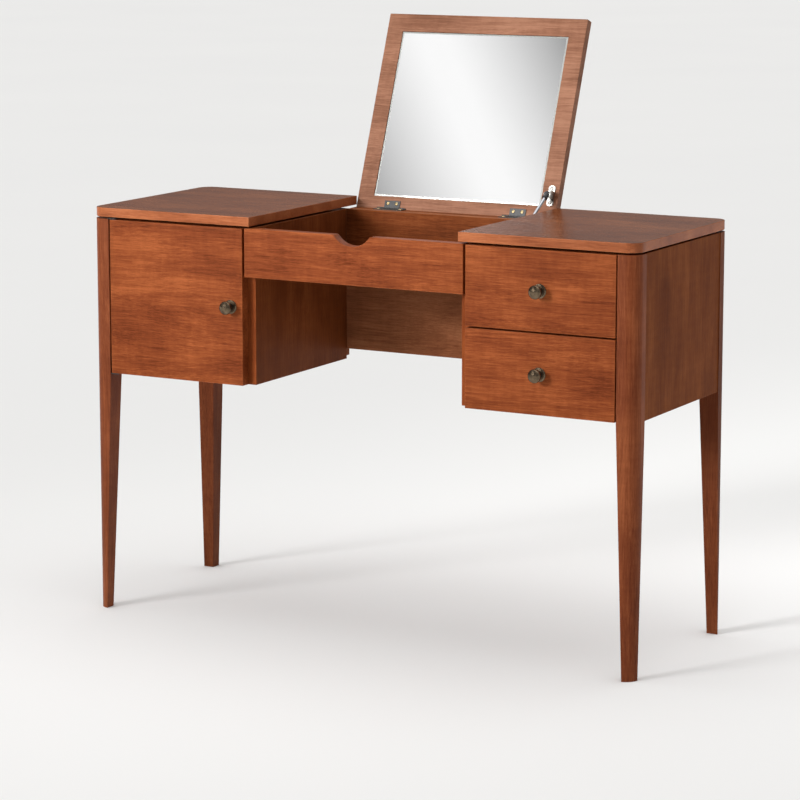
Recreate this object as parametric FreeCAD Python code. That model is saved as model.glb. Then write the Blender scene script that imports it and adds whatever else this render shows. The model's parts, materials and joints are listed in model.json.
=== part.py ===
import FreeCAD, Part

import math
import os

# Dressing table with two cabinets, a kneehole between them and a lift-up lid that
# carries a mirror on its inner face. A door closes the left cabinet, two drawers fill
# the right one, and the lid covers a shallow tray in the middle.
#
# Millimetres. +Z is up, +X is the sitter's right, +Y points to the wall. The origin is
# on the floor, midway across the table, and midway between the knobs' front ends and
# the rear edge of the open lid.

V = FreeCAD.Vector

# ---------------------------------------------------------------- driving sizes

table_width = 1100.0
table_depth = 392.0
table_height = 756.0

top_thickness = 17.0
top_corner_radius = 25.0
edge_easing = 1.0
shadow_gap = 3.5

leg_size = 37.0
leg_foot_size = 21.0
leg_corner_radius = 24.0

board = 18.0
back_panel_thickness = 10.0
side_panel_setback = 1.3
cabinet_bottom_z = 449.0
cabinet_front_gap = 1.5
back_panel_lift = 6.0

kneehole_half = 209.3
lid_half_width = 208.7
lid_side_gap = 2.3

front_thickness = 20.0
front_top_gap = 1.0
door_leg_gap = 2.5
front_apron_gap = 4.7
drawer_gap = 3.0
apron_half_width = 220.8
apron_height = 88.0

notch_radius = 45.5
notch_depth = 19.0
notch_shoulder = 6.0

back_board_drop = 267.0
hinge_rail_thickness = 17.5
hinge_rail_height = 60.0
hinge_rail_setback = 7.6

tray_floor_thickness = 9.0
tray_floor_lift = 11.0
tray_cleat = 14.0

top_rail_width = 60.0
spacer_width = 40.0
spacer_inset = 12.0

# knobs: a round base, a waist and a domed head, turned from one piece
knob_reach = 24.0
knob_head_radius = 12.2
knob_base_radius = 12.5
knob_base_height = 2.6
knob_base_rim = 1.3
knob_shoulder_radius = 7.5
knob_waist_radius = 5.6
knob_waist_height = 5.4
knob_neck_radius = 10.5
knob_rim_from_front = 8.0
knob_rim_bulge = 0.35
knob_dome_height = 4.2
knob_edge_distance = 25.0
knob_screw_radius = 2.0
knob_screw_head_radius = 4.2
knob_screw_head_height = 2.2
knob_screw_grip = 12.0
knob_screw_head_room = 1.0

# lid, mirror and the two lid hinges
lid_lean = 20.6
lid_rear_overlap = 2.3
lid_front_setback = 2.0
rail_behind_pivot = 0.5
mirror_border_side = 34.2
mirror_border_top = 35.2
mirror_border_bottom = 25.7
mirror_thickness = 4.0
mirror_recess_depth = 5.0
mirror_clearance = 0.6
mirror_bevel_width = 3.0
mirror_bevel_depth = 0.4
hinge_offset = 132.0
hinge_base_width = 60.0
hinge_base_depth = 18.0
hinge_lid_width = 33.0
hinge_lid_depth = 14.7
hinge_screw_from_edge = 11.0
hinge_leaf = 1.2
hinge_barrel_radius = 1.4
hinge_pin_radius = 0.7
hinge_screw_spacing = 18.0
hinge_base_screw_spacing = 46.0
running_clearance = 0.05
knuckle_gap = 0.4
knuckle_room = 0.8

# wood screws
screw_radius = 1.5
screw_length = 12.0
screw_head_radius = 3.3
screw_head_height = 1.1
screw_slot_width = 0.8
screw_slot_depth = 0.6
screw_head_sink = 0.2
screw_head_room = 0.3

# gas strut between the lid and the right-hand partition
strut_open_length = 190.0
strut_slope = 31.5
strut_inset = 18.3
strut_tube_radius = 7.0
strut_tube_length = 94.0
strut_rod_radius = 3.0
strut_socket_radius = 6.0
strut_socket_length = 12.0
strut_neck_radius = 5.1
strut_tube_wall = 4.0
strut_bore_clearance = 0.4
strut_stud_radius = 3.0
strut_end_clearance = 0.3
strut_end_room = 1.0
lid_bracket_from_edge = 45.0
lid_bracket_reach = 12.0
lid_bracket_socket_gap = 2.25
lid_bracket_width = 13.5
lid_bracket_height = 40.0
lid_bracket_corner = 6.0
lid_bracket_flange = 14.0
lid_bracket_screw_spacing = 27.0
stay_plate = 1.5
cabinet_bracket_length = 40.0
cabinet_bracket_height = 13.0
cabinet_bracket_screw_spacing = 28.0

# door pivots, catch and strike
door_pivot_inset = 5.5
door_pin_radius = 2.0
door_pin_grip = 12.0
door_bracket_plate = 2.5
door_bracket_height = 40.0
door_bracket_width = 13.0
door_bracket_tongue = 15.0
door_bracket_tongue_thickness = 1.5
door_bracket_clearance = 0.6
door_bracket_screw_step = 16.0
catch_length = 40.0
catch_width = 14.0
catch_height = 15.0
catch_gap = 0.5
strike_thickness = 1.2
strike_size = 12.0

# drawer boxes and their ball-bearing slides
drawer_side = 12.0
drawer_floor_gap = 4.0
drawer_top_gap = 2.25
drawer_back_gap = 28.9
drawer_bottom_thickness = 6.0
drawer_bottom_lift = 8.0
slide_width = 12.7
slide_setback = 4.0
slide_end_gap = 6.0
slide_sheet = 1.3
slide_room = 1.4
slide_outer_height = 36.0
slide_middle_height = 30.0
slide_inner_height = 22.0
slide_lift = 40.0

# how far a cutting tool runs past the piece, and a length too small to matter
cut_past = 1.0
hair = 0.01

# ---------------------------------------------------------------- places worked out

half_width = table_width / 2
top_underside = table_height - top_thickness
carcass_top = top_underside - shadow_gap
tops_inner_edge = lid_half_width + lid_side_gap

lid_swing = 90.0 + lid_lean
pivot_from_front = table_depth - hinge_rail_setback - rail_behind_pivot
lid_length = pivot_from_front + lid_rear_overlap - lid_front_setback
half_gap = shadow_gap / 2
swing = math.radians(lid_swing)
lean = math.radians(lid_lean)
lid_corner_y = lid_rear_overlap * math.cos(swing) + half_gap * math.sin(swing)
lid_reach = lid_corner_y + lid_length * math.sin(lean) + top_thickness * math.cos(lean)

overall_depth = knob_reach + pivot_from_front + lid_reach
y_front = knob_reach - overall_depth / 2
y_back = y_front + table_depth
y_pivot = y_front + pivot_from_front
z_pivot = carcass_top + half_gap

rail_back = y_pivot + rail_behind_pivot
rail_front = rail_back - hinge_rail_thickness
board_front = rail_front - board
fronts_back = y_front + front_thickness

leg_inner = half_width - leg_size
leg_front_end = y_front + leg_size
leg_rear_end = y_back - leg_size
batten_back = min(board_front, leg_rear_end)
panel_outer = half_width - side_panel_setback
panel_inner = panel_outer - board
partition_outer = kneehole_half + board
front_edge_outer = leg_inner - door_leg_gap
front_edge_inner = apron_half_width + front_apron_gap
front_top = carcass_top - front_top_gap
apron_bottom = carcass_top - apron_height
back_board_bottom = carcass_top - back_board_drop
cabinet_floor = cabinet_bottom_z + board
cabinet_front = fronts_back + cabinet_front_gap
catch_front = fronts_back + strike_thickness + catch_gap
rail_underside = carcass_top - board
tray_floor_bottom = apron_bottom + tray_floor_lift

door_axis_x = -(front_edge_outer - door_pivot_inset)
door_axis_y = y_front + door_pivot_inset
door_centre_z = (cabinet_bottom_z + front_top) / 2
knob_x_door = -(front_edge_inner + knob_edge_distance)

front_height = (front_top - cabinet_bottom_z - drawer_gap) / 2
drawer_front_z = {
    "lower": cabinet_bottom_z,
    "upper": cabinet_bottom_z + front_height + drawer_gap,
}
drawer_middle_x = (front_edge_inner + front_edge_outer) / 2
box_left = partition_outer + slide_width
box_right = leg_inner - slide_width
box_back = board_front - drawer_back_gap
drawer_box_lift = board + drawer_floor_gap
drawer_box_height = rail_underside - drawer_top_gap - drawer_front_z["upper"] - drawer_box_lift

# ---------------------------------------------------------------- small helpers


def block(x_range, y_range, z_range):
    """A box between pairs of coordinates, given in either order."""
    lows = [min(pair) for pair in (x_range, y_range, z_range)]
    highs = [max(pair) for pair in (x_range, y_range, z_range)]
    sizes = [high - low for low, high in zip(lows, highs)]
    return Part.makeBox(sizes[0], sizes[1], sizes[2], V(*lows))


def eased(shape, radius=edge_easing):
    """Round every edge of a plain board a little, as sanding leaves it."""
    return shape.makeFillet(radius, shape.Edges)


def across(shape):
    """The same piece on the other side of the table's middle plane."""
    return shape.mirror(V(0, 0, 0), V(1, 0, 0))


def cylinder(radius, start, end):
    along = end - start
    return Part.makeCylinder(radius, along.Length, start, along)


def screw(head_seat, outward, length=screw_length):
    """A slotted wood screw whose head stands on head_seat and points outward."""
    outward = V(outward).normalize()
    side = V(1, 0, 0) if abs(outward.x) < 0.5 else V(0, 1, 0)
    head_top = head_seat + outward * screw_head_height
    head = cylinder(screw_head_radius, head_seat, head_top)
    shank = cylinder(screw_radius, head_seat - outward * length, head_seat)
    half_slot = screw_head_radius + cut_past
    slot = block(
        (-half_slot, half_slot),
        (-screw_slot_width / 2, screw_slot_width / 2),
        (-screw_slot_depth, cut_past),
    )
    turn = FreeCAD.Rotation(side, outward.cross(side), outward, "ZXY")
    slot.Placement = FreeCAD.Placement(head_top, turn).multiply(slot.Placement)
    return head.fuse(shank).removeSplitter().cut(slot)


def pilot(head_seat, outward, length=screw_length):
    """The hole that a screw's shank stands in, with a hair of room all round."""
    outward = V(outward).normalize()
    tip = head_seat - outward * (length + running_clearance)
    return cylinder(screw_radius + running_clearance, tip, head_seat + outward * cut_past)


def bored(shape, seats, length=screw_length):
    """Cut the pilot holes of a list of (seat, outward) screws."""
    for seat, outward in seats:
        shape = shape.cut(pilot(seat, outward, length))
    return shape


def screws(seats, length=screw_length):
    return [screw(seat, outward, length) for seat, outward in seats]


def turned_about(shape, centre_y, centre_z, degrees):
    """A copy turned about an axis along +X through the given place."""
    copy = shape.copy()
    copy.rotate(V(0, centre_y, centre_z), V(1, 0, 0), degrees)
    return copy


def opened(shape):
    """Take a piece of the lid from its closed place to its open one."""
    return turned_about(shape, y_pivot, z_pivot, -lid_swing)


# ---------------------------------------------------------------- legs and carcass


def leg():
    """The front right leg: two upright outer faces, two inner faces that taper."""
    r = leg_corner_radius
    x_out, x_in = half_width, leg_inner
    y_out, y_in = y_front, leg_front_end
    slant = r * (1 - math.sqrt(0.5))
    outline = [
        Part.LineSegment(V(x_in, y_out, 0), V(x_out - r, y_out, 0)).toShape(),
        Part.Arc(
            V(x_out - r, y_out, 0), V(x_out - slant, y_out + slant, 0), V(x_out, y_out + r, 0)
        ).toShape(),
        Part.LineSegment(V(x_out, y_out + r, 0), V(x_out, y_in, 0)).toShape(),
        Part.LineSegment(V(x_out, y_in, 0), V(x_in, y_in, 0)).toShape(),
        Part.LineSegment(V(x_in, y_in, 0), V(x_in, y_out, 0)).toShape(),
    ]
    post = Part.Face(Part.Wire(outline)).extrude(V(0, 0, carcass_top))
    taper = leg_size - leg_foot_size

    def wedge(corner, inward, along):
        side = Part.makePolygon(
            [corner, corner + inward * taper, corner + V(0, 0, cabinet_bottom_z), corner]
        )
        return Part.Face(side).extrude(along * leg_size)

    inner_x = wedge(V(x_in, y_out, 0), V(1, 0, 0), V(0, 1, 0))
    inner_y = wedge(V(x_in, y_in, 0), V(0, -1, 0), V(1, 0, 0))
    return post.cut(inner_x).cut(inner_y)


def to_rear(shape):
    """The same leg at the back, mirrored about the carcass's middle."""
    return shape.mirror(V(0, (y_front + y_back) / 2, 0), V(0, 1, 0))


def leg_room():
    """The upright space of the right-hand legs, cut from boards that meet them."""
    front = block((leg_inner, half_width), (y_front, leg_front_end), (0, carcass_top))
    rear = block((leg_inner, half_width), (leg_rear_end, y_back), (0, carcass_top))
    return front.fuse(rear)


def table_top():
    """The right-hand top: round outer corners, square inner ones, eased edges."""
    slab = block((tops_inner_edge, half_width), (y_front, y_back), (top_underside, table_height))
    corners = [
        edge
        for edge in slab.Edges
        if edge.BoundBox.ZLength > top_thickness / 2
        and edge.Vertexes[0].X > tops_inner_edge + hair
    ]
    slab = slab.makeFillet(top_corner_radius, corners)
    level = [edge for edge in slab.Edges if edge.BoundBox.ZLength < hair]
    return slab.makeFillet(edge_easing, level)


def side_panel():
    return block(
        (panel_inner, panel_outer), (leg_front_end, leg_rear_end), (cabinet_bottom_z, carcass_top)
    )


def partition():
    return block(
        (kneehole_half, partition_outer), (fronts_back, board_front), (cabinet_bottom_z, carcass_top)
    )


def cabinet_bottom():
    panel = block(
        (partition_outer, panel_inner), (cabinet_front, board_front), (cabinet_bottom_z, cabinet_floor)
    )
    return panel.cut(leg_room())


def cabinet_back():
    panel = block(
        (kneehole_half, panel_inner),
        (board_front, board_front + back_panel_thickness),
        (cabinet_bottom_z + back_panel_lift, carcass_top),
    )
    return panel.cut(leg_room())


def top_rails():
    """Front and rear rails that tie the partition to the side panel."""
    rails = []
    for y_start in (cabinet_front, board_front - top_rail_width):
        rail = block(
            (partition_outer, panel_inner),
            (y_start, y_start + top_rail_width),
            (rail_underside, carcass_top),
        )
        rails.append(rail.cut(leg_room()))
    return rails


def top_spacers():
    """Thin strips that lift the tops off the carcass and leave the dark line."""
    strips = []
    for y_start in (fronts_back + spacer_inset, board_front - spacer_inset - spacer_width):
        strip = block(
            (partition_outer + spacer_inset, leg_inner - spacer_inset),
            (y_start, y_start + spacer_width),
            (carcass_top, top_underside),
        )
        strips += [strip, across(strip)]
    return strips


def centre_back_board():
    """The wide board behind the kneehole, up to the lid's hinges."""
    return block(
        (-kneehole_half, kneehole_half), (board_front, rail_front), (back_board_bottom, carcass_top)
    )


def hinge_rail():
    """Doubles the board's top edge, so that it can take the hinge screws."""
    rail = block(
        (-kneehole_half, kneehole_half),
        (rail_front, rail_back),
        (carcass_top - hinge_rail_height, carcass_top),
    )
    return bored(rail, hinge_base_seats())


def apron():
    """The front board of the tray, with a finger notch in its top edge."""
    plank = block(
        (-apron_half_width, apron_half_width), (y_front, fronts_back), (apron_bottom, carcass_top)
    )
    centre_z = carcass_top + notch_radius - notch_depth
    scoop = cylinder(
        notch_radius, V(0, y_front - cut_past, centre_z), V(0, fronts_back + cut_past, centre_z)
    )
    plank = plank.cut(scoop)
    half_chord = math.sqrt(notch_radius**2 - (notch_radius - notch_depth) ** 2)
    shoulders = [
        edge
        for edge in plank.Edges
        if edge.BoundBox.YLength > front_thickness / 2
        and abs(abs(edge.Vertexes[0].X) - half_chord) < hair
    ]
    return plank.makeFillet(notch_shoulder, shoulders)


def tray_floor():
    return block(
        (-kneehole_half, kneehole_half),
        (fronts_back, board_front),
        (tray_floor_bottom, tray_floor_bottom + tray_floor_thickness),
    )


def tray_cleats():
    cleat = block(
        (kneehole_half - tray_cleat, kneehole_half),
        (fronts_back, board_front),
        (tray_floor_bottom - tray_cleat, tray_floor_bottom),
    )
    return [cleat, across(cleat)]


# ---------------------------------------------------------------- knobs


def crown(edge, top):
    """An arc that rises from edge and lies level where it reaches top."""
    width, height = edge.x - top.x, edge.y - top.y
    radius = (width**2 + height**2) / (2 * height)
    half_turn = math.asin(width / radius) / 2
    middle = V(
        top.x + radius * math.sin(half_turn), top.y + radius * (1 - math.cos(half_turn)), 0
    )
    return Part.Arc(edge, middle, top)


def knob(x, z):
    """Turned about its own axis: base, waist, and a domed head with a soft rim."""
    rim_y = -(knob_reach - knob_rim_from_front)
    dome_y = -(knob_reach - knob_dome_height)
    foot = V(knob_base_radius, 0, 0)
    base_rim = V(knob_base_radius, -knob_base_rim, 0)
    shoulder = V(knob_shoulder_radius, -knob_base_height, 0)
    waist = V(knob_waist_radius, -knob_base_height - knob_waist_height, 0)
    neck = V(knob_neck_radius, rim_y, 0)
    rim = V(knob_head_radius + knob_rim_bulge, (rim_y + dome_y) / 2, 0)
    dome_edge = V(knob_head_radius, dome_y, 0)
    tip = V(0, -knob_reach, 0)
    curves = [
        Part.LineSegment(V(0, 0, 0), foot),
        Part.LineSegment(foot, base_rim),
        crown(base_rim, shoulder),
        Part.Arc(shoulder, waist, neck),
        Part.Arc(neck, rim, dome_edge),
        crown(dome_edge, tip),
        Part.LineSegment(tip, V(0, 0, 0)),
    ]
    face = Part.Face(Part.Wire([curve.toShape() for curve in curves]))
    body = face.revolve(V(0, 0, 0), V(0, 1, 0), 360)
    bore_end = V(0, -(knob_screw_grip + running_clearance), 0)
    bore = cylinder(knob_screw_radius + running_clearance, V(0, cut_past, 0), bore_end)
    body = body.cut(bore)
    body.translate(V(x, y_front, z))
    return body


def knob_screw(x, z):
    """Goes through the front from behind, into the knob."""
    back = V(x, fronts_back, z)
    head_end = back + V(0, knob_screw_head_height, 0)
    head = cylinder(knob_screw_head_radius, back, head_end)
    shank = cylinder(knob_screw_radius, V(x, y_front - knob_screw_grip, z), back)
    return head.fuse(shank).removeSplitter()


def knob_hole(x, z):
    start = V(x, y_front - cut_past, z)
    end = V(x, fronts_back + cut_past, z)
    return cylinder(knob_screw_radius + running_clearance, start, end)


# ---------------------------------------------------------------- door


def door():
    x_range = (-front_edge_outer, -front_edge_inner)
    panel = eased(block(x_range, (y_front, fronts_back), (cabinet_bottom_z, front_top)))
    panel = panel.cut(knob_hole(knob_x_door, door_centre_z))
    for z_edge, inward in ((cabinet_bottom_z, 1), (front_top, -1)):
        mouth = V(door_axis_x, door_axis_y, z_edge - inward * cut_past)
        end = V(door_axis_x, door_axis_y, z_edge + inward * (door_pin_grip + running_clearance))
        panel = panel.cut(cylinder(door_pin_radius + running_clearance, mouth, end))
    return panel


def tongue_range(upper):
    """Heights of the bracket tongue above or below the door's edge."""
    if upper:
        start = front_top + door_bracket_clearance
        return (start, start + door_bracket_tongue_thickness)
    start = cabinet_bottom_z - door_bracket_clearance
    return (start - door_bracket_tongue_thickness, start)


def door_pins():
    """One pin in each end of the door; its bare end turns in the bracket."""
    pins = []
    for upper in (True, False):
        low, high = tongue_range(upper)
        edge = front_top - door_pin_grip if upper else cabinet_bottom_z + door_pin_grip
        far = high if upper else low
        start = V(door_axis_x, door_axis_y, min(edge, far))
        end = V(door_axis_x, door_axis_y, max(edge, far))
        pins.append(cylinder(door_pin_radius, start, end))
    return pins


def door_bracket_seats(upper):
    """The screws of one bracket; their heads are sunk below its face."""
    low, high = tongue_range(upper)
    seat_x = -leg_inner - screw_head_height - screw_head_sink
    middle_y = y_front + edge_easing + door_bracket_width / 2
    start, step = (high, -door_bracket_screw_step) if upper else (low, door_bracket_screw_step)
    return [(V(seat_x, middle_y, start + step * place), V(1, 0, 0)) for place in (1, 2)]


def door_bracket_plate_shape(upper):
    """The bracket's upright plate, let in flush with the leg's inner face."""
    low, high = tongue_range(upper)
    z_range = (high - door_bracket_height, high) if upper else (low, low + door_bracket_height)
    y_start = y_front + edge_easing
    return block(
        (-leg_inner - door_bracket_plate, -leg_inner), (y_start, y_start + door_bracket_width), z_range
    )


def door_leg():
    """The front left leg, with pockets and pilot holes for the door's brackets."""
    shape = across(leg())
    for upper in (True, False):
        shape = shape.cut(door_bracket_plate_shape(upper))
    return bored(shape, door_bracket_seats(True) + door_bracket_seats(False))


def door_bracket(upper):
    """An angle on the leg's inner face, with a tongue that takes the door's pin."""
    low, high = tongue_range(upper)
    plate = door_bracket_plate_shape(upper)
    y_range = (plate.BoundBox.YMin, plate.BoundBox.YMax)
    tongue = block((-leg_inner, -leg_inner + door_bracket_tongue), y_range, (low, high))
    hole = cylinder(
        door_pin_radius + running_clearance,
        V(door_axis_x, door_axis_y, low - cut_past),
        V(door_axis_x, door_axis_y, high + cut_past),
    )
    shape = plate.fuse(tongue).removeSplitter().cut(hole)
    for seat, outward in door_bracket_seats(upper):
        sink_end = seat + outward * (screw_head_height + screw_head_sink + cut_past)
        shape = shape.cut(cylinder(screw_head_radius + screw_head_room, seat, sink_end))
    return bored(shape, door_bracket_seats(upper))


def door_catch():
    """A magnet case on the partition, behind the door's free edge."""
    return block(
        (-partition_outer - catch_width, -partition_outer),
        (catch_front, catch_front + catch_length),
        (rail_underside - catch_height, rail_underside),
    )


def door_strike():
    """A steel plate on the door's back that the magnet holds."""
    x_middle = -partition_outer - catch_width / 2
    z_middle = rail_underside - catch_height / 2
    return block(
        (x_middle - strike_size / 2, x_middle + strike_size / 2),
        (fronts_back, fronts_back + strike_thickness),
        (z_middle - strike_size / 2, z_middle + strike_size / 2),
    )


# ---------------------------------------------------------------- drawers


def drawer_front(name):
    z_low = drawer_front_z[name]
    x_range = (front_edge_inner, front_edge_outer)
    panel = eased(block(x_range, (y_front, fronts_back), (z_low, z_low + front_height)))
    return panel.cut(knob_hole(drawer_middle_x, z_low + front_height / 2))


def drawer_boards(name):
    """Two sides, two ends and the bottom of one drawer box."""
    z_low = drawer_front_z[name] + drawer_box_lift
    z_high = z_low + drawer_box_height
    side_y = (fronts_back, box_back)
    sides = [
        block((box_left, box_left + drawer_side), side_y, (z_low, z_high)),
        block((box_right - drawer_side, box_right), side_y, (z_low, z_high)),
    ]
    inner_x = (box_left + drawer_side, box_right - drawer_side)
    ends = [
        block(inner_x, (fronts_back, fronts_back + drawer_side), (z_low, z_high)),
        block(inner_x, (box_back - drawer_side, box_back), (z_low, z_high)),
    ]
    middle = drawer_front_z[name] + front_height / 2
    hole = cylinder(
        knob_screw_head_radius + knob_screw_head_room,
        V(drawer_middle_x, fronts_back - cut_past, middle),
        V(drawer_middle_x, fronts_back + drawer_side + cut_past, middle),
    )
    ends[0] = ends[0].cut(hole)
    base = z_low + drawer_bottom_lift
    bottom = block(
        inner_x,
        (fronts_back + drawer_side, box_back - drawer_side),
        (base, base + drawer_bottom_thickness),
    )
    return sides, ends, bottom


def channel(x_web, towards, reach, height, y_range, z_middle):
    """A folded steel strip: a web on one side and a flange above and below."""
    z_low, z_high = z_middle - height / 2, z_middle + height / 2
    web = block((x_web, x_web + towards * slide_sheet), y_range, (z_low, z_high))
    low = block((x_web, x_web + towards * reach), y_range, (z_low, z_low + slide_sheet))
    high = block((x_web, x_web + towards * reach), y_range, (z_high - slide_sheet, z_high))
    return web.fuse([low, high]).removeSplitter()


def slide_members(name):
    """Outer, middle and inner members of the drawer's two slides."""
    z_middle = drawer_front_z[name] + drawer_box_lift + slide_lift
    y_range = (fronts_back + slide_setback, box_back - slide_end_gap)
    step = slide_sheet + slide_room
    outer_reach = slide_width - step
    middle_reach = outer_reach - step
    inner_reach = outer_reach - step + slide_sheet
    outer, middle, inner = [], [], []
    for fixed_face, towards in ((partition_outer, 1), (leg_inner, -1)):
        outer.append(
            channel(fixed_face, towards, outer_reach, slide_outer_height, y_range, z_middle)
        )
        web = fixed_face + towards * step
        middle.append(channel(web, towards, middle_reach, slide_middle_height, y_range, z_middle))
        drawer_face = fixed_face + towards * slide_width
        inner.append(
            channel(drawer_face, -towards, inner_reach, slide_inner_height, y_range, z_middle)
        )
    return outer, middle, inner


def slide_batten(name):
    """Packs the right-hand slide out from the side panel to the leg's face."""
    z_middle = drawer_front_z[name] + drawer_box_lift + slide_lift
    return block(
        (leg_inner, panel_inner),
        (leg_front_end, batten_back),
        (z_middle - slide_outer_height / 2, z_middle + slide_outer_height / 2),
    )


# ---------------------------------------------------------------- lid, closed place


def lid_face_point(x, from_edge, off_face=0.0):
    """A place on the closed lid's underside, from its hinge edge and off its face."""
    return V(x, y_pivot + lid_rear_overlap - from_edge, top_underside - off_face)


def mirror_ranges(grow=0.0):
    half = lid_half_width - mirror_border_side + grow
    rear = y_pivot + lid_rear_overlap
    y_range = (rear - lid_length + mirror_border_top - grow, rear - mirror_border_bottom + grow)
    return (-half, half), y_range


def lid_board():
    rear = y_pivot + lid_rear_overlap
    x_range = (-lid_half_width, lid_half_width)
    slab = block(x_range, (rear - lid_length, rear), (top_underside, table_height))
    slab = eased(slab, edge_easing / 2)
    x_range, y_range = mirror_ranges(mirror_clearance)
    recess = block(x_range, y_range, (top_underside - cut_past, top_underside + mirror_recess_depth))
    return bored(slab.cut(recess), lid_leaf_seats() + lid_bracket_seats())


def mirror_outline(grow, z):
    (x_low, x_high), (y_low, y_high) = mirror_ranges(grow)
    corners = [V(x_low, y_low, z), V(x_high, y_low, z), V(x_high, y_high, z), V(x_low, y_high, z)]
    return Part.makePolygon(corners + corners[:1])


def mirror_glass():
    """A flat glass with a narrow bevel round its front."""
    x_range, y_range = mirror_ranges()
    z_back = top_underside + mirror_recess_depth
    z_front = z_back - mirror_thickness
    z_bevel = z_front + mirror_bevel_depth
    sheet = block(x_range, y_range, (z_bevel, z_back))
    outlines = [mirror_outline(0.0, z_bevel), mirror_outline(-mirror_bevel_width, z_front)]
    return sheet.fuse(Part.makeLoft(outlines, True, True)).removeSplitter()


def hinge_places():
    return (-hinge_offset, hinge_offset)


def hinge_base_seats():
    """Screws of the base leaves, in the wings beside the lid leaf."""
    y_seat = y_pivot - hinge_base_depth / 2
    top = carcass_top + hinge_leaf
    return [
        (V(x + side * hinge_base_screw_spacing / 2, y_seat, top), V(0, 0, 1))
        for x in hinge_places()
        for side in (-1, 1)
    ]


def lid_leaf_seats():
    return [
        (
            lid_face_point(x + side * hinge_screw_spacing / 2, hinge_screw_from_edge, hinge_leaf),
            V(0, 0, -1),
        )
        for x in hinge_places()
        for side in (-1, 1)
    ]


def knuckle(x_start, x_end):
    return cylinder(hinge_barrel_radius, V(x_start, y_pivot, z_pivot), V(x_end, y_pivot, z_pivot))


def pin_room(x):
    half = hinge_base_width / 2 + cut_past
    radius = hinge_pin_radius + running_clearance
    return cylinder(radius, V(x - half, y_pivot, z_pivot), V(x + half, y_pivot, z_pivot))


def hinge_base(x):
    """The wide leaf on the back board, with a knuckle at each end."""
    half = hinge_base_width / 2
    leaf = block(
        (x - half, x + half),
        (y_pivot - hinge_base_depth, y_pivot),
        (carcass_top, carcass_top + hinge_leaf),
    )
    inner = hinge_lid_width / 2 + knuckle_gap
    room = block(
        (x - inner, x + inner),
        (y_pivot - hinge_barrel_radius - knuckle_room, y_pivot + cut_past),
        (carcass_top - cut_past, top_underside),
    )
    shape = leaf.cut(room).fuse([knuckle(x - half, x - inner), knuckle(x + inner, x + half)])
    return bored(shape.removeSplitter().cut(pin_room(x)), hinge_base_seats())


def hinge_lid_leaf(x):
    """The narrow leaf on the lid, with the middle knuckle."""
    half = hinge_lid_width / 2
    leaf = block(
        (x - half, x + half),
        (y_pivot - hinge_lid_depth, y_pivot),
        (top_underside - hinge_leaf, top_underside),
    )
    shape = leaf.fuse(knuckle(x - half, x + half)).removeSplitter().cut(pin_room(x))
    return bored(shape, lid_leaf_seats())


def hinge_pin(x):
    half = hinge_base_width / 2
    return cylinder(hinge_pin_radius, V(x - half, y_pivot, z_pivot), V(x + half, y_pivot, z_pivot))


# ---------------------------------------------------------------- gas strut

strut_x = kneehole_half - strut_inset
ball_closed = lid_face_point(strut_x, lid_bracket_from_edge, lid_bracket_reach)


def turned_point(point, degrees):
    angle = math.radians(degrees)
    y, z = point.y - y_pivot, point.z - z_pivot
    turned_y = y * math.cos(angle) - z * math.sin(angle)
    turned_z = y * math.sin(angle) + z * math.cos(angle)
    return V(point.x, y_pivot + turned_y, z_pivot + turned_z)


ball_open = turned_point(ball_closed, -lid_swing)
slope = math.radians(strut_slope)
strut_line = V(0, -math.cos(slope), -math.sin(slope))
ball_low = ball_open + strut_line * strut_open_length
strut_closed = ball_low - ball_closed
strut_closed_length = strut_closed.Length
strut_travel = strut_open_length - strut_closed_length
strut_turn = (
    math.degrees(math.atan2(strut_closed.z, strut_closed.y) - math.atan2(strut_line.z, strut_line.y))
    - lid_swing
)


def flange_x():
    """Where the bracket's flange starts, just outside the strut's socket."""
    return strut_x + strut_socket_radius + lid_bracket_socket_gap


def lid_bracket_seats():
    """Two screws, midway across the part of the plate inside the flange."""
    x = flange_x() - (lid_bracket_width - stay_plate) / 2
    return [
        (
            lid_face_point(x, lid_bracket_from_edge + side * lid_bracket_screw_spacing / 2, stay_plate),
            V(0, 0, -1),
        )
        for side in (-1, 1)
    ]


def lid_bracket():
    """A plate on the lid with a flange at right angles that holds the ball stud."""
    x_out = flange_x() + stay_plate
    rear = lid_face_point(0, lid_bracket_from_edge - lid_bracket_height / 2).y
    front = rear - lid_bracket_height
    z_range = (top_underside - stay_plate, top_underside)
    plate = block((x_out - lid_bracket_width, x_out), (front, rear), z_range)
    corners = [edge for edge in plate.Edges if edge.BoundBox.ZLength > hair]
    plate = plate.makeFillet(lid_bracket_corner, corners)
    middle = ball_closed.y
    flange = block(
        (flange_x(), x_out),
        (middle - lid_bracket_flange / 2, middle + lid_bracket_flange / 2),
        (ball_closed.z - lid_bracket_flange / 2, top_underside),
    )
    return bored(plate.fuse(flange).removeSplitter(), lid_bracket_seats())


def strut_frame(shape):
    """Lay a piece made along +Z, from the upper ball, onto the open strut's line."""
    copy = shape.copy()
    laid = FreeCAD.Placement(ball_open, FreeCAD.Rotation(V(0, 0, 1), strut_line))
    copy.Placement = laid.multiply(copy.Placement)
    return copy


def strut_rod():
    """The polished rod; its hidden end stays in the tube's bore at every length."""
    bore_end = strut_open_length - strut_socket_length - strut_tube_wall
    end = bore_end - strut_travel - strut_end_room
    start = V(0, 0, strut_socket_length)
    return strut_frame(cylinder(strut_rod_radius, start, V(0, 0, end)))


def socket(length):
    """A round-ended moulding with a cross hole, snapped over a stud."""
    neck = cylinder(strut_neck_radius, V(0, 0, 0), V(0, 0, length))
    return neck.fuse(Part.makeSphere(strut_socket_radius)).removeSplitter()


def stud_hole(centre):
    half = V(strut_socket_radius + cut_past, 0, 0)
    return cylinder(strut_stud_radius + running_clearance, centre - half, centre + half)


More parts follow.
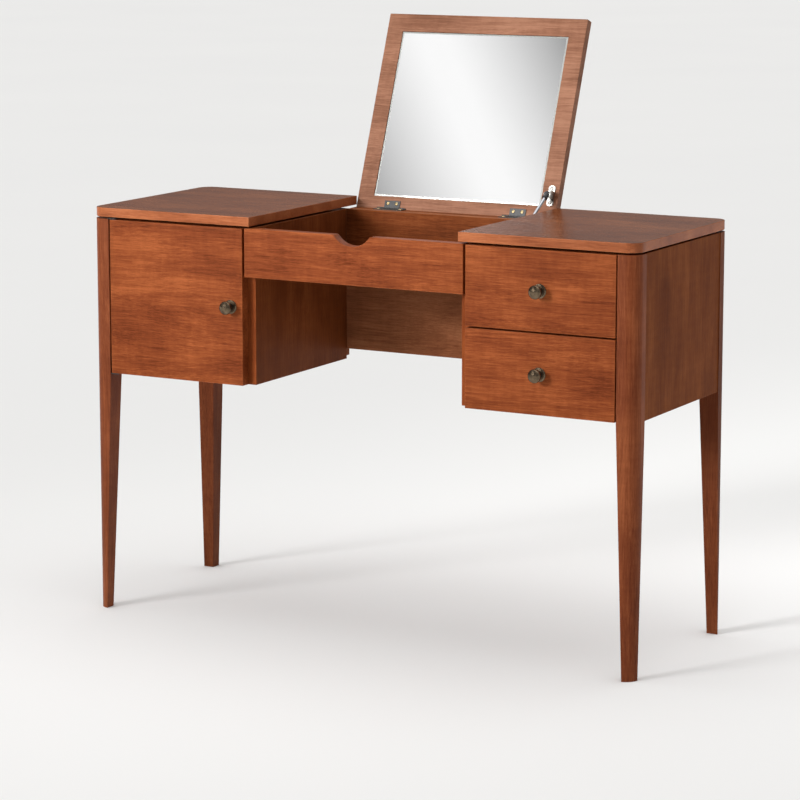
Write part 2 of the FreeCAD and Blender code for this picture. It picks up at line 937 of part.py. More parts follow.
def strut_upper_socket():
    return strut_frame(socket(strut_socket_length)).cut(stud_hole(ball_open))


def strut_lower_socket():
    shape = socket(strut_socket_length)
    shape.rotate(V(0, 0, 0), V(1, 0, 0), 180)
    shape.translate(V(0, 0, strut_open_length))
    return strut_frame(shape).cut(stud_hole(ball_low))


def upper_stud():
    """Stands on the bracket's flange; the upper socket turns on it."""
    start = V(strut_x - strut_socket_radius, ball_closed.y, ball_closed.z)
    end = V(flange_x(), ball_closed.y, ball_closed.z)
    return cylinder(strut_stud_radius, start, end)


def lower_stud():
    """Stops a hair short of its plate: the strut's loop is open here."""
    start = V(strut_x - strut_socket_radius, ball_low.y, ball_low.z)
    end = V(kneehole_half - stay_plate - strut_end_clearance, ball_low.y, ball_low.z)
    return cylinder(strut_stud_radius, start, end)


def strut_tube():
    low = strut_open_length - strut_socket_length
    high = low - strut_tube_length
    tube = cylinder(strut_tube_radius, V(0, 0, high), V(0, 0, low))
    bore_end = V(0, 0, low - strut_tube_wall)
    mouth = V(0, 0, high - cut_past)
    bore = cylinder(strut_rod_radius + strut_bore_clearance, mouth, bore_end)
    return strut_frame(tube.cut(bore))


def cabinet_bracket_seats():
    x = kneehole_half - stay_plate
    return [
        (V(x, ball_low.y + side * cabinet_bracket_screw_spacing / 2, ball_low.z), V(-1, 0, 0))
        for side in (-1, 1)
    ]


def cabinet_bracket():
    """The plate on the right-hand partition that holds the strut's lower end."""
    plate = block(
        (kneehole_half - stay_plate, kneehole_half),
        (ball_low.y - cabinet_bracket_length / 2, ball_low.y + cabinet_bracket_length / 2),
        (ball_low.z - cabinet_bracket_height / 2, ball_low.z + cabinet_bracket_height / 2),
    )
    return bored(plate, cabinet_bracket_seats())


# ---------------------------------------------------------------- the whole table


def fixed_pieces():
    right_leg = leg()
    left_bracket_seats = door_bracket_seats(True) + door_bracket_seats(False)
    rails = top_rails()
    pieces = {
        "front_right_leg": [right_leg],
        "front_left_leg": [door_leg()],
        "rear_right_leg": [to_rear(right_leg)],
        "rear_left_leg": [across(to_rear(right_leg))],
        "right_top": [table_top()],
        "left_top": [across(table_top())],
        "right_side_panel": [side_panel()],
        "left_side_panel": [across(side_panel())],
        "right_partition": [bored(partition(), cabinet_bracket_seats())],
        "left_partition": [across(partition())],
        "right_cabinet_bottom": [cabinet_bottom()],
        "left_cabinet_bottom": [across(cabinet_bottom())],
        "right_cabinet_back": [cabinet_back()],
        "left_cabinet_back": [across(cabinet_back())],
        "top_rails": rails + [across(rail) for rail in rails],
        "top_spacers": top_spacers(),
        "centre_back_board": [centre_back_board()],
        "hinge_rail": [hinge_rail()],
        "apron": [apron()],
        "tray_floor": [tray_floor()],
        "tray_cleats": tray_cleats(),
        "lid_hinge_bases": [hinge_base(x) for x in hinge_places()],
        "lid_hinge_pins": [hinge_pin(x) for x in hinge_places()],
        "strut_cabinet_bracket": [cabinet_bracket()],
        "door_pivot_brackets": [door_bracket(True), door_bracket(False)],
        "carcass_screws": screws(hinge_base_seats() + cabinet_bracket_seats() + left_bracket_seats),
        "door_catch": [door_catch()],
        "slide_battens": [slide_batten(name) for name in drawer_front_z],
        "slide_outers": [],
    }
    for name in drawer_front_z:
        pieces["slide_outers"] += slide_members(name)[0]
    return pieces


def door_pieces():
    return {
        "door": [door()],
        "door_knob": [knob(knob_x_door, door_centre_z)],
        "door_knob_screw": [knob_screw(knob_x_door, door_centre_z)],
        "door_pivot_pins": door_pins(),
        "door_strike": [door_strike()],
    }


def drawer_pieces(name):
    sides, ends, bottom = drawer_boards(name)
    middle = drawer_front_z[name] + front_height / 2
    outer_members, middle_members, inner_members = slide_members(name)
    return {
        name + "_drawer_front": [drawer_front(name)],
        name + "_drawer_sides": sides,
        name + "_drawer_ends": ends,
        name + "_drawer_bottom": [bottom],
        name + "_drawer_knob": [knob(drawer_middle_x, middle)],
        name + "_drawer_knob_screw": [knob_screw(drawer_middle_x, middle)],
        name + "_slide_inners": inner_members,
        name + "_slide_middles": middle_members,
    }


def lid_pieces():
    closed = {
        "lid": [lid_board()],
        "mirror": [mirror_glass()],
        "lid_hinge_leaves": [hinge_lid_leaf(x) for x in hinge_places()],
        "strut_lid_bracket": [lid_bracket(), upper_stud()],
        "lid_screws": screws(lid_leaf_seats() + lid_bracket_seats()),
    }
    return {name: [opened(shape) for shape in shapes] for name, shapes in closed.items()}


def strut_pieces():
    return {
        "strut_rod": [strut_rod()],
        "strut_upper_socket": [strut_upper_socket()],
        "strut_tube": [strut_tube()],
        "strut_lower_socket": [strut_lower_socket()],
        "strut_lower_stud": [lower_stud()],
    }


def write(pieces):
    for name, shapes in pieces.items():
        shape = shapes[0] if len(shapes) == 1 else Part.makeCompound(shapes)
        shape.exportStep(os.path.join("parts", name + ".step"))


os.makedirs("parts", exist_ok=True)
table = fixed_pieces()
table.update(door_pieces())
for drawer_name in drawer_front_z:
    table.update(drawer_pieces(drawer_name))
table.update(lid_pieces())
table.update(strut_pieces())
write(table)
print(len(table), "nodes")
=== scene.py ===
# %% [markdown]
# # A dressing table with a mirror under its lid
#
# A cupboard stands on the left, two drawers on the right, and between them lies a
# shallow tray under a lid that carries a mirror. All of it rests on four tapered legs.
# The engineering model gives every piece its size and place, so this script loads it
# first. It then gives each piece its finish, and rebuilds the pieces whose roundness
# an engineering mesh only shows as flat facets.

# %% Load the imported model
import json
import math

import bmesh
import bpy
from mathutils import Matrix, Vector

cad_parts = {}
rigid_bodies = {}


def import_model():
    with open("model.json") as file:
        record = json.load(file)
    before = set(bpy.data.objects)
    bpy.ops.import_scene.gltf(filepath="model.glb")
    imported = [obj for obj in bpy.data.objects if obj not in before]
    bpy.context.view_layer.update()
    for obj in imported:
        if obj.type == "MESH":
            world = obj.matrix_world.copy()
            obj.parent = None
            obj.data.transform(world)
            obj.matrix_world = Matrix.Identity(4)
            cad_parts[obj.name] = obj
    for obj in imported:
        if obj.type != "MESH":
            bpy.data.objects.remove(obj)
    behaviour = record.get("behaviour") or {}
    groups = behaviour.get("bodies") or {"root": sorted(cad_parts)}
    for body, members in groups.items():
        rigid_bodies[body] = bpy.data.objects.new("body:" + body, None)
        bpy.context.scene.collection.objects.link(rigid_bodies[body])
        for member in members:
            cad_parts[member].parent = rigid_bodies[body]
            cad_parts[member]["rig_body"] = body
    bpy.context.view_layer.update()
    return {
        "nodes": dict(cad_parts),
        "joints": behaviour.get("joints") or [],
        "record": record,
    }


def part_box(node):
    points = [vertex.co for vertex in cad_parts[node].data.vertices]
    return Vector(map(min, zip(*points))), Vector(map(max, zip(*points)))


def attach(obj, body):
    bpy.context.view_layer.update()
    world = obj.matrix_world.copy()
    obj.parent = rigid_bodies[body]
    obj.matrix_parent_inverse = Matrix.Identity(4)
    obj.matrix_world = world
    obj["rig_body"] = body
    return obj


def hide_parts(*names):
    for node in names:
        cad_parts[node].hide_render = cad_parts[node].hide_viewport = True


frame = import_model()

MM = 0.001
body_of = {name: obj["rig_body"] for name, obj in frame["nodes"].items()}
slot_of = {row["node"]: row["material_slot"] for row in frame["record"]["subparts"]}

# %% [markdown]
# ## Where the viewer stands
#
# A long lens from five metres away keeps the table's upright lines almost parallel, as
# a catalogue picture does. A short lens close by would make the near leg look huge. The
# camera looks down a little, so that both tops and the inside of the tray can be seen.

# %% Set up the camera
LENS_MM = 135.2
LOOK_DOWN = math.radians(9.47)
LOOK_ASIDE = math.radians(28.8)
EYE = Vector((2.5935, -4.7958, 1.4029))
FRAMING_SHIFT = -0.061

camera_data = bpy.data.cameras.new("viewer")
camera_data.lens = LENS_MM
camera_data.shift_y = FRAMING_SHIFT
camera_data.clip_end = 200.0
viewer = bpy.data.objects.new("viewer", camera_data)
viewer.location = EYE
viewer.rotation_euler = (math.pi / 2 - LOOK_DOWN, 0.0, LOOK_ASIDE)
bpy.context.scene.collection.objects.link(viewer)
bpy.context.scene.camera = viewer
bpy.context.scene.view_settings.view_transform = "Standard"
print("camera", round(EYE.length, 2), "m from the table's foot")

# %% [markdown]
# ## Sums that write their own nodes
#
# A material is a small tree of nodes, and a grain pattern needs dozens of Math nodes.
# Wiring each by hand hides the idea, so one small class wraps a socket and answers to
# +, -, *, / and **. An expression such as `1 - mask * 0.3` then adds the nodes itself,
# and reads like the sum it is. The same class serves Geometry Nodes trees later on.

# %% A socket that can do sums
def plug(tree, socket, value):
    """Link a wired value into a socket, or write a plain value on it."""
    if isinstance(value, Wire):
        tree.links.new(value.socket, socket)
    else:
        socket.default_value = value


class Wire:
    """One output socket of a node tree, with Python's arithmetic signs on it."""

    def __init__(self, tree, socket):
        self.tree, self.socket = tree, socket

    def math(self, operation, *values):
        node = self.tree.nodes.new("ShaderNodeMath")
        node.operation = operation
        for socket, value in zip(node.inputs, values):
            plug(self.tree, socket, value)
        return Wire(self.tree, node.outputs[0])

    def __add__(self, other):
        return self.math("ADD", self, other)

    def __radd__(self, other):
        return self.math("ADD", other, self)

    def __sub__(self, other):
        return self.math("SUBTRACT", self, other)

    def __rsub__(self, other):
        return self.math("SUBTRACT", other, self)

    def __mul__(self, other):
        return self.math("MULTIPLY", self, other)

    def __rmul__(self, other):
        return self.math("MULTIPLY", other, self)

    def __truediv__(self, other):
        return self.math("DIVIDE", self, other)

    def __rtruediv__(self, other):
        return self.math("DIVIDE", other, self)

    def __pow__(self, other):
        return self.math("POWER", self, other)

    def clipped(self):
        """Held between 0 and 1."""
        return self.math("MINIMUM", self.math("MAXIMUM", self, 0.0), 1.0)

    def over(self, low, high):
        """0 below low, 1 above high, and a straight climb between."""
        return ((self - low) / (high - low)).clipped()


# %% A tree that adds any other node
class Tree:
    """Adds nodes by type, with their settings first and then their inputs."""

    def __init__(self, nodes_and_links):
        self.tree = nodes_and_links

    def node(self, kind, settings=None, inputs=None, output=0):
        made = self.tree.nodes.new(kind)
        for name, value in (settings or {}).items():
            if name == "stops":
                self.set_stops(made, value)
            else:
                setattr(made, name, value)
        for name, value in (inputs or {}).items():
            plug(self.tree, made.inputs[name], value)
        return Wire(self.tree, made.outputs[output])

    def parts(self, vector):
        """The X, Y and Z of a vector, each as a wire."""
        split = self.tree.nodes.new("ShaderNodeSeparateXYZ")
        plug(self.tree, split.inputs[0], vector)
        return [Wire(self.tree, socket) for socket in split.outputs]

    def vector_math(self, operation, first, second, output=0):
        inputs = {0: first, 1: second}
        return self.node("ShaderNodeVectorMath", {"operation": operation}, inputs, output)

    def dot(self, first, second):
        return self.vector_math("DOT_PRODUCT", first, second, "Value")

    @staticmethod
    def set_stops(ramp, stops):
        elements = ramp.color_ramp.elements
        while len(elements) < len(stops):
            elements.new(0.5)
        for element, (place, colour) in zip(elements, stops):
            element.position = place
            element.color = (*colour, 1.0)


class Finish(Tree):
    """A material with one Principled shader; what never varies is set on the shader."""

    def __init__(self, name, **fixed):
        self.material = bpy.data.materials.new(name)
        self.material.use_nodes = True
        super().__init__(self.material.node_tree)
        self.tree.nodes.clear()
        self.shader = self.tree.nodes.new("ShaderNodeBsdfPrincipled")
        output = self.tree.nodes.new("ShaderNodeOutputMaterial")
        self.tree.links.new(self.shader.outputs[0], output.inputs["Surface"])
        for socket, value in fixed.items():
            self.shader.inputs[socket.replace("_", " ")].default_value = value

    def feed(self, socket, value):
        plug(self.tree, self.shader.inputs[socket], value)

    def place(self):
        return self.node("ShaderNodeTexCoord", output="Object")

    def turned(self, where, location=(0, 0, 0), rotation=(0, 0, 0), scale=(1, 1, 1)):
        inputs = {"Vector": where, "Location": location, "Rotation": rotation, "Scale": scale}
        return self.node("ShaderNodeMapping", inputs=inputs)

    def noise(self, where, scale, detail=2.0, roughness=0.5):
        inputs = {"Vector": where, "Scale": scale, "Detail": detail, "Roughness": roughness}
        return self.node("ShaderNodeTexNoise", inputs=inputs)

    def stretched(self, where, along, across, detail=2.0, roughness=0.5):
        """Noise whose grains are long in X: along and across count grains per metre."""
        laid = self.turned(where, scale=(along, across, across))
        return self.noise(laid, 1.0, detail, roughness)

    def blend(self, share, first, second):
        made = self.tree.nodes.new("ShaderNodeMix")
        made.data_type = "RGBA"
        plug(self.tree, made.inputs[0], share)
        for socket, value in ((made.inputs[6], first), (made.inputs[7], second)):
            plug(self.tree, socket, value if isinstance(value, Wire) else (*value, 1.0))
        return Wire(self.tree, made.outputs[2])

    def bump(self, height, distance, strength=1.0):
        inputs = {"Height": height, "Distance": distance, "Strength": strength}
        self.feed("Normal", self.node("ShaderNodeBump", inputs=inputs))


# %% [markdown]
# ## The room and its light
#
# The table stands on a plain pale floor. The world around it is dim at eye level and
# bright overhead, as under a wide soft box, so the tops and the floor are well lit. A
# narrow soft beam from the front left makes the fronts glow and leaves the right-hand
# side in warm shade. One big lamp could light all of it, but it would light the fronts
# and the side alike, and the corner between them would look flat.

# %% Lay the floor
FLOOR_RADIUS = 60.0
FLOOR_TONES = ((0.835, 0.835, 0.835), (0.865, 0.865, 0.86))


def mesh_object(name, mesh):
    made = bpy.data.objects.new(name, mesh)
    bpy.context.scene.collection.objects.link(made)
    return made


def from_bmesh(name, work):
    mesh = bpy.data.meshes.new(name)
    work.to_mesh(mesh)
    work.free()
    return mesh


disc = bmesh.new()
bmesh.ops.create_circle(disc, cap_ends=True, segments=128, radius=FLOOR_RADIUS)
floor = mesh_object("pale_floor", from_bmesh("pale_floor", disc))
paint = Finish("floor_paint", Roughness=0.85, Specular_IOR_Level=0.1)
paint.feed("Base Color", paint.blend(paint.noise(paint.place(), 0.7, 3.0), *FLOOR_TONES))
floor.data.materials.append(paint.material)
print("floor laid")

# %% Fill the room with light from above
AIR_LIGHT = 0.11
DRIFTING_LIGHT = 0.34
DRIFT_SCALE = 1.7
DRIFT_RANGE = (0.36, 0.66)
HORIZON_LIGHT = 0.10
HORIZON_TOP = 0.5
SKYLIGHT = 1.75
SKYLIGHT_RANGE = (0.55, 0.95)

world = bpy.data.worlds.new("studio")
world.use_nodes = True
world.node_tree.nodes.clear()
air = Tree(world.node_tree)
outward = air.node("ShaderNodeTexCoord", output="Generated")
drifting = {"Vector": outward, "Scale": DRIFT_SCALE, "Detail": 1.0}
drift = air.node("ShaderNodeTexNoise", inputs=drifting).over(*DRIFT_RANGE)
height = air.parts(outward)[2]
horizon = (1 - height.over(0.0, HORIZON_TOP)) ** 2
overhead = height.over(*SKYLIGHT_RANGE)
strength = AIR_LIGHT + drift * DRIFTING_LIGHT + horizon * HORIZON_LIGHT + overhead * SKYLIGHT
glow = air.node("ShaderNodeBackground", inputs={"Color": (1.0, 0.995, 0.985, 1.0), "Strength": strength})
world_out = world.node_tree.nodes.new("ShaderNodeOutputWorld")
world.node_tree.links.new(glow.socket, world_out.inputs["Surface"])
bpy.context.scene.world = world
print("world nodes:", len(world.node_tree.nodes))

# %% Aim the soft beam at the fronts
KEY_PLACE = Vector((-1.9, -3.4, 2.0))
KEY_AIM = Vector((0.0, 0.0, 0.86))
KEY_SIZE = 1.5
KEY_POWER = 11.5
KEY_SPREAD = math.radians(34)

beam = bpy.data.lights.new("key_light", "AREA")
beam.shape = "SQUARE"
beam.size = KEY_SIZE
beam.energy = KEY_POWER
beam.spread = KEY_SPREAD
lamp = bpy.data.objects.new("key_light", beam)
lamp.location = KEY_PLACE
lamp.rotation_euler = (KEY_AIM - KEY_PLACE).to_track_quat("-Z", "Y").to_euler()
lamp.visible_camera = False
bpy.context.scene.collection.objects.link(lamp)
print("key light", round((KEY_PLACE - KEY_AIM).length, 2), "m away")

# %% [markdown]
# ## A card for the mirror to look at
#
# A mirror has no look of its own: it shows what stands in front of it. A card hangs out
# of view just where the viewer's line of sight goes after it bounces off the glass. A
# slanted bright band on the card gives the glass its soft sheen, as a white reflector
# does in a studio. The card lights nothing else and casts no shadow.

# %% Hang the reflector card
CARD_DISTANCE = 3.6
CARD_HALF = 1.9
BAND_SLANT = (0.72, 0.70)
BAND_SHIFT = -0.01
BAND_FALL = (0.03, 0.45)
BAND_SOFTNESS = 1.3
BAND_DARK = (0.18, 0.18, 0.182)
BAND_BRIGHT = (1.0, 1.0, 1.0)
mirror_low, mirror_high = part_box("mirror")
mirror_centre = (mirror_low + mirror_high) / 2
front_faces = [face for face in frame["nodes"]["mirror"].data.polygons if face.normal.y < 0]
glass_normal = max(front_faces, key=lambda face: face.area).normal.copy()
sight = (mirror_centre - EYE).normalized()
bounce = sight - 2 * sight.dot(glass_normal) * glass_normal
card_centre = mirror_centre + bounce * CARD_DISTANCE
side = bounce.cross(Vector((0, 0, 1))).normalized()
rise = side.cross(bounce).normalized()
card_mesh = bpy.data.meshes.new("reflector_card")
corners = []
for x, y in ((-1, -1), (1, -1), (1, 1), (-1, 1)):
    corners.append(list(card_centre + side * (x * CARD_HALF) + rise * (y * CARD_HALF)))
card_mesh.from_pydata(corners, [], [(0, 1, 2, 3)])
card = mesh_object("reflector_card", card_mesh)
card.visible_camera = False
card.visible_shadow = False
card.visible_diffuse = False
satin = Finish("card_cloth", Base_Color=(0.0, 0.0, 0.0, 1.0), Roughness=0.9, Emission_Strength=1.0)
off_centre = satin.vector_math("SUBTRACT", satin.place(), tuple(card_centre))
across, height = satin.dot(off_centre, tuple(side)), satin.dot(off_centre, tuple(rise))
band = across * BAND_SLANT[0] - height * BAND_SLANT[1] + BAND_SHIFT
fall = 1 - band.math("ABSOLUTE", band).over(*BAND_FALL) ** BAND_SOFTNESS
satin.feed("Emission Color", satin.blend(fall, BAND_DARK, BAND_BRIGHT))
card.data.materials.append(satin.material)
print("card hangs at", [round(v, 2) for v in card_centre])

# %% [markdown]
# ## Stained wood
#
# The boards are a fine, even hardwood under a warm red-brown stain and a satin lacquer.
# Seen closely, the surface has four layers: broad clouds where the stain took more or
# less, soft streaks a few millimetres wide that run with the grain, hair-fine fibres,
# and short dark pores. Real timber also shimmers in faint bars across the grain. Each
# layer here is one stretched noise, counted in grains per metre, so that the scale
# stays true on every board. A turn of the coordinates lays the grain along the board.
#
# The colour is not one stain all over, because light and shade are painted into it. The
# tops' upper faces are darkened as painted shade, and their edges carry a lighter copy of
# the stain as painted light. The lid's mirror side is paler and greyer, a painted sheen.
# The sides, the legs and the parts inside the tray and kneehole are darkened as painted
# shade. So a board may carry a second colour. A rule says where: on the faces that look
# one way, or on the part over a height.

# %% Name the stains
GRAIN_TURN = {"x": (0.0, 0.0, 0.0), "y": (0.0, 0.0, -math.pi / 2), "z": (0.0, math.pi / 2, 0.0)}


def shades(dark, mid, light):
    """One timber's colour in its darkest, middling and lightest grain."""
    return {"dark": dark, "mid": mid, "light": light}


STAIN = shades((0.105, 0.0205, 0.0052), (0.205, 0.0470, 0.0125), (0.330, 0.0900, 0.0260))
# Painted shade: the tops' upper faces are darkened against the strong light from above; the lid's back takes
# the same colour.
TOP_SHADE_STAIN = shades((0.084, 0.0205, 0.0055), (0.152, 0.0415, 0.0110), (0.235, 0.0720, 0.0200))
# Painted shade: the side panels are darkened, as the shaded right-hand side.
SIDE_SHADE_STAIN = shades((0.098, 0.0230, 0.0058), (0.172, 0.0460, 0.0118), (0.255, 0.0780, 0.0220))
# Painted sheen: the lid's mirror side and edges are paler and greyer, as a glossy haze would make them.
LID_SHEEN_STAIN = shades((0.150, 0.0600, 0.0310), (0.245, 0.1080, 0.0620), (0.330, 0.1600, 0.0970))
# Painted shade: the legs are darkened, the rear legs most, for the shade that falls low down and at the back.
FRONT_LEG_SHADE_STAIN = shades((0.096, 0.0205, 0.0066), (0.182, 0.0455, 0.0152), (0.300, 0.0890, 0.0320))
REAR_LEG_SHADE_STAIN = shades((0.075, 0.0170, 0.0056), (0.140, 0.0365, 0.0128), (0.220, 0.0670, 0.0250))
BACK_STAIN = shades((0.130, 0.0400, 0.0165), (0.225, 0.0780, 0.0320), (0.320, 0.1250, 0.0560))
# Painted shade: the tray, its rails, the gap under the tops and the partitions are darkened where shade falls
# inside.
RECESS_SHADE_STAIN = shades((0.085, 0.0215, 0.0060), (0.156, 0.0405, 0.0112), (0.235, 0.0690, 0.0210))
# Painted light: the tops' edges are a lighter, warmer copy of the stain, as lit from the front.
LIT_LIP_STAIN = shades((0.172, 0.0430, 0.0145), (0.305, 0.0890, 0.0315), (0.440, 0.1480, 0.0570))
BIRCH = shades((0.36, 0.22, 0.12), (0.52, 0.36, 0.22), (0.64, 0.47, 0.31))


# %% Say where a finish goes on a board
def box_edges(finish, where, low, high):
    """How far a place on a board lies from the board's nearest edge, in metres."""
    gaps = []
    for axis, place in enumerate(finish.parts(where)):
        middle, half = (low[axis] + high[axis]) / 2, (high[axis] - low[axis]) / 2
        gaps.append(half - place.math("ABSOLUTE", place - middle))
    a, b, c = gaps
    return a.math("MAXIMUM", a.math("MINIMUM", a, b), a.math("MINIMUM", a.math("MAXIMUM", a, b), c))


def facing(direction, low=0.35, high=0.85):
    """A rule that is 1 on the faces of a board that look one way."""

    def where(finish, here):
        looks = finish.node("ShaderNodeTexCoord", output="Normal")
        return finish.dot(looks, tuple(direction)).over(low, high)

    return where


def above(height):
    """A rule that is 1 on the part of a board over a height."""

    def where(finish, here):
        return finish.parts(here)[2].over(height, height + MM)

    return where


def both(first, other):
    """A rule that is 1 only where two other rules are."""
    return lambda finish, here: first(finish, here) * other(finish, here)


# %% Mix the stained wood
# Each mark in the grain: how many lie in a metre along the grain and across it, then
# the noise's detail and its roughness.
WANDER = (2.2, 9.0, 1.0, 0.5)
CLOUDS = (5.5, 19.0, 2.0, 0.5)
STREAKS = (8.0, 250.0, 3.0, 0.70)
FINE_LINES = (22.0, 1100.0, 2.0, 0.65)
FIBRES = (150.0, 3000.0, 1.0, 0.6)
BARS = (90.0, 24.0, 2.0, 0.6)
PORES = (170.0, 2600.0, 1.0, 0.5)
PORE_RANGE = (0.66, 0.76)
PORE_DEPTH = 0.45
WANDER_ASIDE = {"Y": 45 * MM, "Z": 30 * MM}
MIDDLE_TONE = 1.05
TONE_SPREAD = 2.35
NEXT_BOARD = (0.371, 0.593, 0.217)
# How far from an edge the wear and painted highlight reach, and how patchy they are.
WEAR_AND_HIGHLIGHT_REACH = (0.4 * MM, 2.2 * MM)
WEAR_AND_HIGHLIGHT_RANGE = (0.30, 0.62)
GRAIN_RELIEF = 0.12 * MM


def tinted(finish, stain, tone):
    """The stain's colour for a tone, from 0 in the darkest grain to 1 in the lightest."""
    stops = [(0.0, stain["dark"]), (0.5, stain["mid"]), (1.0, stain["light"])]
    return finish.node("ShaderNodeValToRGB", {"stops": stops}, {"Fac": tone})


def wood(name, stain, grain, seed, roughness=0.40, edges_of=None, contrast=1.0, gloss=0.06, second=None):
    """Stained or plain timber with its grain along one axis of the table."""
    finish = Finish(name, Specular_IOR_Level=gloss)
    here = finish.place()
    shift = tuple(seed * step for step in NEXT_BOARD)
    laid = finish.turned(here, location=shift, rotation=GRAIN_TURN[grain])
    wander = finish.stretched(laid, *WANDER)
    sway = {axis: wander * reach for axis, reach in WANDER_ASIDE.items()}
    bent = finish.vector_math("ADD", laid, finish.node("ShaderNodeCombineXYZ", inputs=sway))
    clouds = finish.stretched(bent, *CLOUDS)
    streaks = finish.stretched(bent, *STREAKS)
    fine = finish.stretched(bent, *FINE_LINES)
    fibres = finish.stretched(bent, *FIBRES)
    bars = finish.stretched(bent, *BARS)
    pores = finish.stretched(bent, *PORES).over(*PORE_RANGE)
    tone = clouds * 0.62 + streaks * 0.48 + fine * 0.60 + fibres * 0.26 + bars * 0.14
    tone = ((tone - MIDDLE_TONE) * (TONE_SPREAD * contrast) + 0.5).clipped()
    in_pores = tuple(v * PORE_DEPTH for v in stain["dark"])
    colour = finish.blend(pores * PORE_DEPTH, tinted(finish, stain, tone), in_pores)
    rough = roughness + (fine - 0.5) * 0.16 + pores * 0.12
    if second:
        other, where = second
        colour = finish.blend(where(finish, here), colour, tinted(finish, other, tone))
    # Lighter along the board's edges: partly wear, partly a painted highlight on the arrises.
    if edges_of:
        wear_and_highlight = 1 - box_edges(finish, here, *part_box(edges_of)).over(*WEAR_AND_HIGHLIGHT_REACH)
        wear_and_highlight = wear_and_highlight * finish.noise(here, 40.0, 2.0).over(*WEAR_AND_HIGHLIGHT_RANGE)
        colour = finish.blend(wear_and_highlight * 0.34, colour, stain["light"])
        rough = rough - wear_and_highlight * 0.06
    finish.feed("Base Color", colour)
    finish.feed("Roughness", rough)
    finish.bump(streaks * 0.3 + fine * 0.35 + fibres * 0.25 - pores * 0.9, GRAIN_RELIEF, 0.55)
    return finish.material


print("timber is ready to be cut")

# %% [markdown]
# ## Metals, glass and mouldings
#
# Metal looks alive through its roughness more than its colour. Brushed nickel and zinc
# are streaked one way, black lacquer has a faint orange-peel skin, and moulded nylon has
# a coarser one. Two recipes cover them all: a brushed metal, and a coating with dust.

# %% Mix the metals
BRUSH_RELIEF = 0.03 * MM
SKIN_RELIEF = 0.05 * MM
BRUSH_LINES = 60
STAINED = 0.78


def brushed(name, colour, roughness=0.28, along=(1, 40, 40), strength=0.2):
    """A metal with fine parallel lines left by rolling or polishing."""
    finish = Finish(name, Metallic=1.0)
    laid = finish.turned(finish.place(), scale=tuple(v * BRUSH_LINES for v in along))
    lines = finish.noise(laid, 1.0, 3.0, 0.6)
    stains = finish.noise(finish.place(), 35.0, 2.0)
    darker = tuple(v * STAINED for v in colour)
    finish.feed("Base Color", finish.blend(stains * 0.5 + lines * 0.4, colour, darker))
    finish.feed("Roughness", roughness + (lines - 0.5) * 0.16 + (stains - 0.5) * 0.08)
    finish.bump(lines, BRUSH_RELIEF, strength)
    return finish.material


def coated(name, colour, roughness=0.42, metallic=0.0, grain=900.0, strength=0.25):
    """Lacquer or moulded plastic: one colour with a fine skin and faint dust."""
    finish = Finish(name, Metallic=metallic)
    here = finish.place()
    skin = finish.noise(here, grain, 2.0, 0.5)
    dust = finish.noise(here, 60.0, 3.0, 0.6).over(0.45, 0.85)
    paler = tuple(v * 1.5 + 0.012 for v in colour)
    finish.feed("Base Color", finish.blend(dust * 0.6, colour, paler))
    finish.feed("Roughness", roughness + dust * 0.12 + (skin - 0.5) * 0.1)
    finish.bump(skin, SKIN_RELIEF, strength)
    return finish.material


metals = {
    "hinge_metal": coated("black_lacquer", (0.020, 0.018, 0.017), 0.40),
    "screw_metal": brushed("bright_brass", (0.80, 0.62, 0.33), 0.26, (30, 30, 30)),
    "nickel": brushed("dull_nickel", (0.50, 0.485, 0.45), 0.34, (20, 2, 20)),
    "chrome_rod": brushed("polished_rod", (0.50, 0.51, 0.54), 0.16, (12, 1, 1), 0.05),
    "strut_black": coated("black_tube", (0.022, 0.022, 0.025), 0.34),
    "socket_plastic": coated("black_nylon", (0.030, 0.030, 0.032), 0.55, 0.0, 1500.0, 0.4),
    "slide_steel": brushed("zinc_steel", (0.60, 0.61, 0.63), 0.34, (30, 1, 30)),
    "catch_plastic": coated("brown_case", (0.10, 0.045, 0.022), 0.5, 0.0, 1500.0, 0.4),
}

# %% [markdown]
# ## Bronze knobs and silvered glass
#
# The knobs are bronze, darkened with acid and then rubbed, so the metal shines where
# fingers polish it. The narrow neck is painted nearly black: its dark patina, and painted
# shade where the head and base shade it. The neck is found by its height over the knob's
# base, and a cloudy noise spreads the wear over the rest.
#
# The mirror is silver behind glass, so it is a perfect metal with next to no roughness.
# Its bevelled edge scatters light instead, and shows as a thin pale line. The face and
# the bevel differ only by a few degrees, so a rule on the direction tells them apart.

# %% Paint shade into the knobs' necks
NECK_STARTS = (1.6 * MM, 3.2 * MM)
NECK_ENDS = (10.5 * MM, 14.0 * MM)
NECK_SHADE_COLOUR = (0.022, 0.016, 0.011)
DARK_BRONZE = (0.055, 0.039, 0.026)
RUBBED_BRONZE = (0.260, 0.190, 0.122)
bronze = Finish("rubbed_bronze", Metallic=1.0)
here = bronze.place()
off_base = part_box("door_knob")[1].y - bronze.parts(here)[1]
# Painted shade: the neck is painted nearly black where the head and base shade it, along with its patina.
neck_shade = off_base.over(*NECK_STARTS) * (1 - off_base.over(*NECK_ENDS))
cloudy = bronze.noise(here, 90.0, 3.0, 0.6)
specks = bronze.noise(here, 700.0, 2.0, 0.5)
polished = (cloudy * 0.9 + specks * 0.3).over(0.35, 0.85)
rubbed = bronze.blend(polished, DARK_BRONZE, RUBBED_BRONZE)
bronze.feed("Base Color", bronze.blend(neck_shade, rubbed, NECK_SHADE_COLOUR))
bronze.feed("Roughness", 0.15 + neck_shade * 0.3 + (0.5 - cloudy) * 0.18 + specks * 0.06)
bronze.bump(cloudy + specks * 0.5, 0.06 * MM, 0.2)
metals["knob_metal"] = bronze.material
print("knob metal:", bronze.material.name)

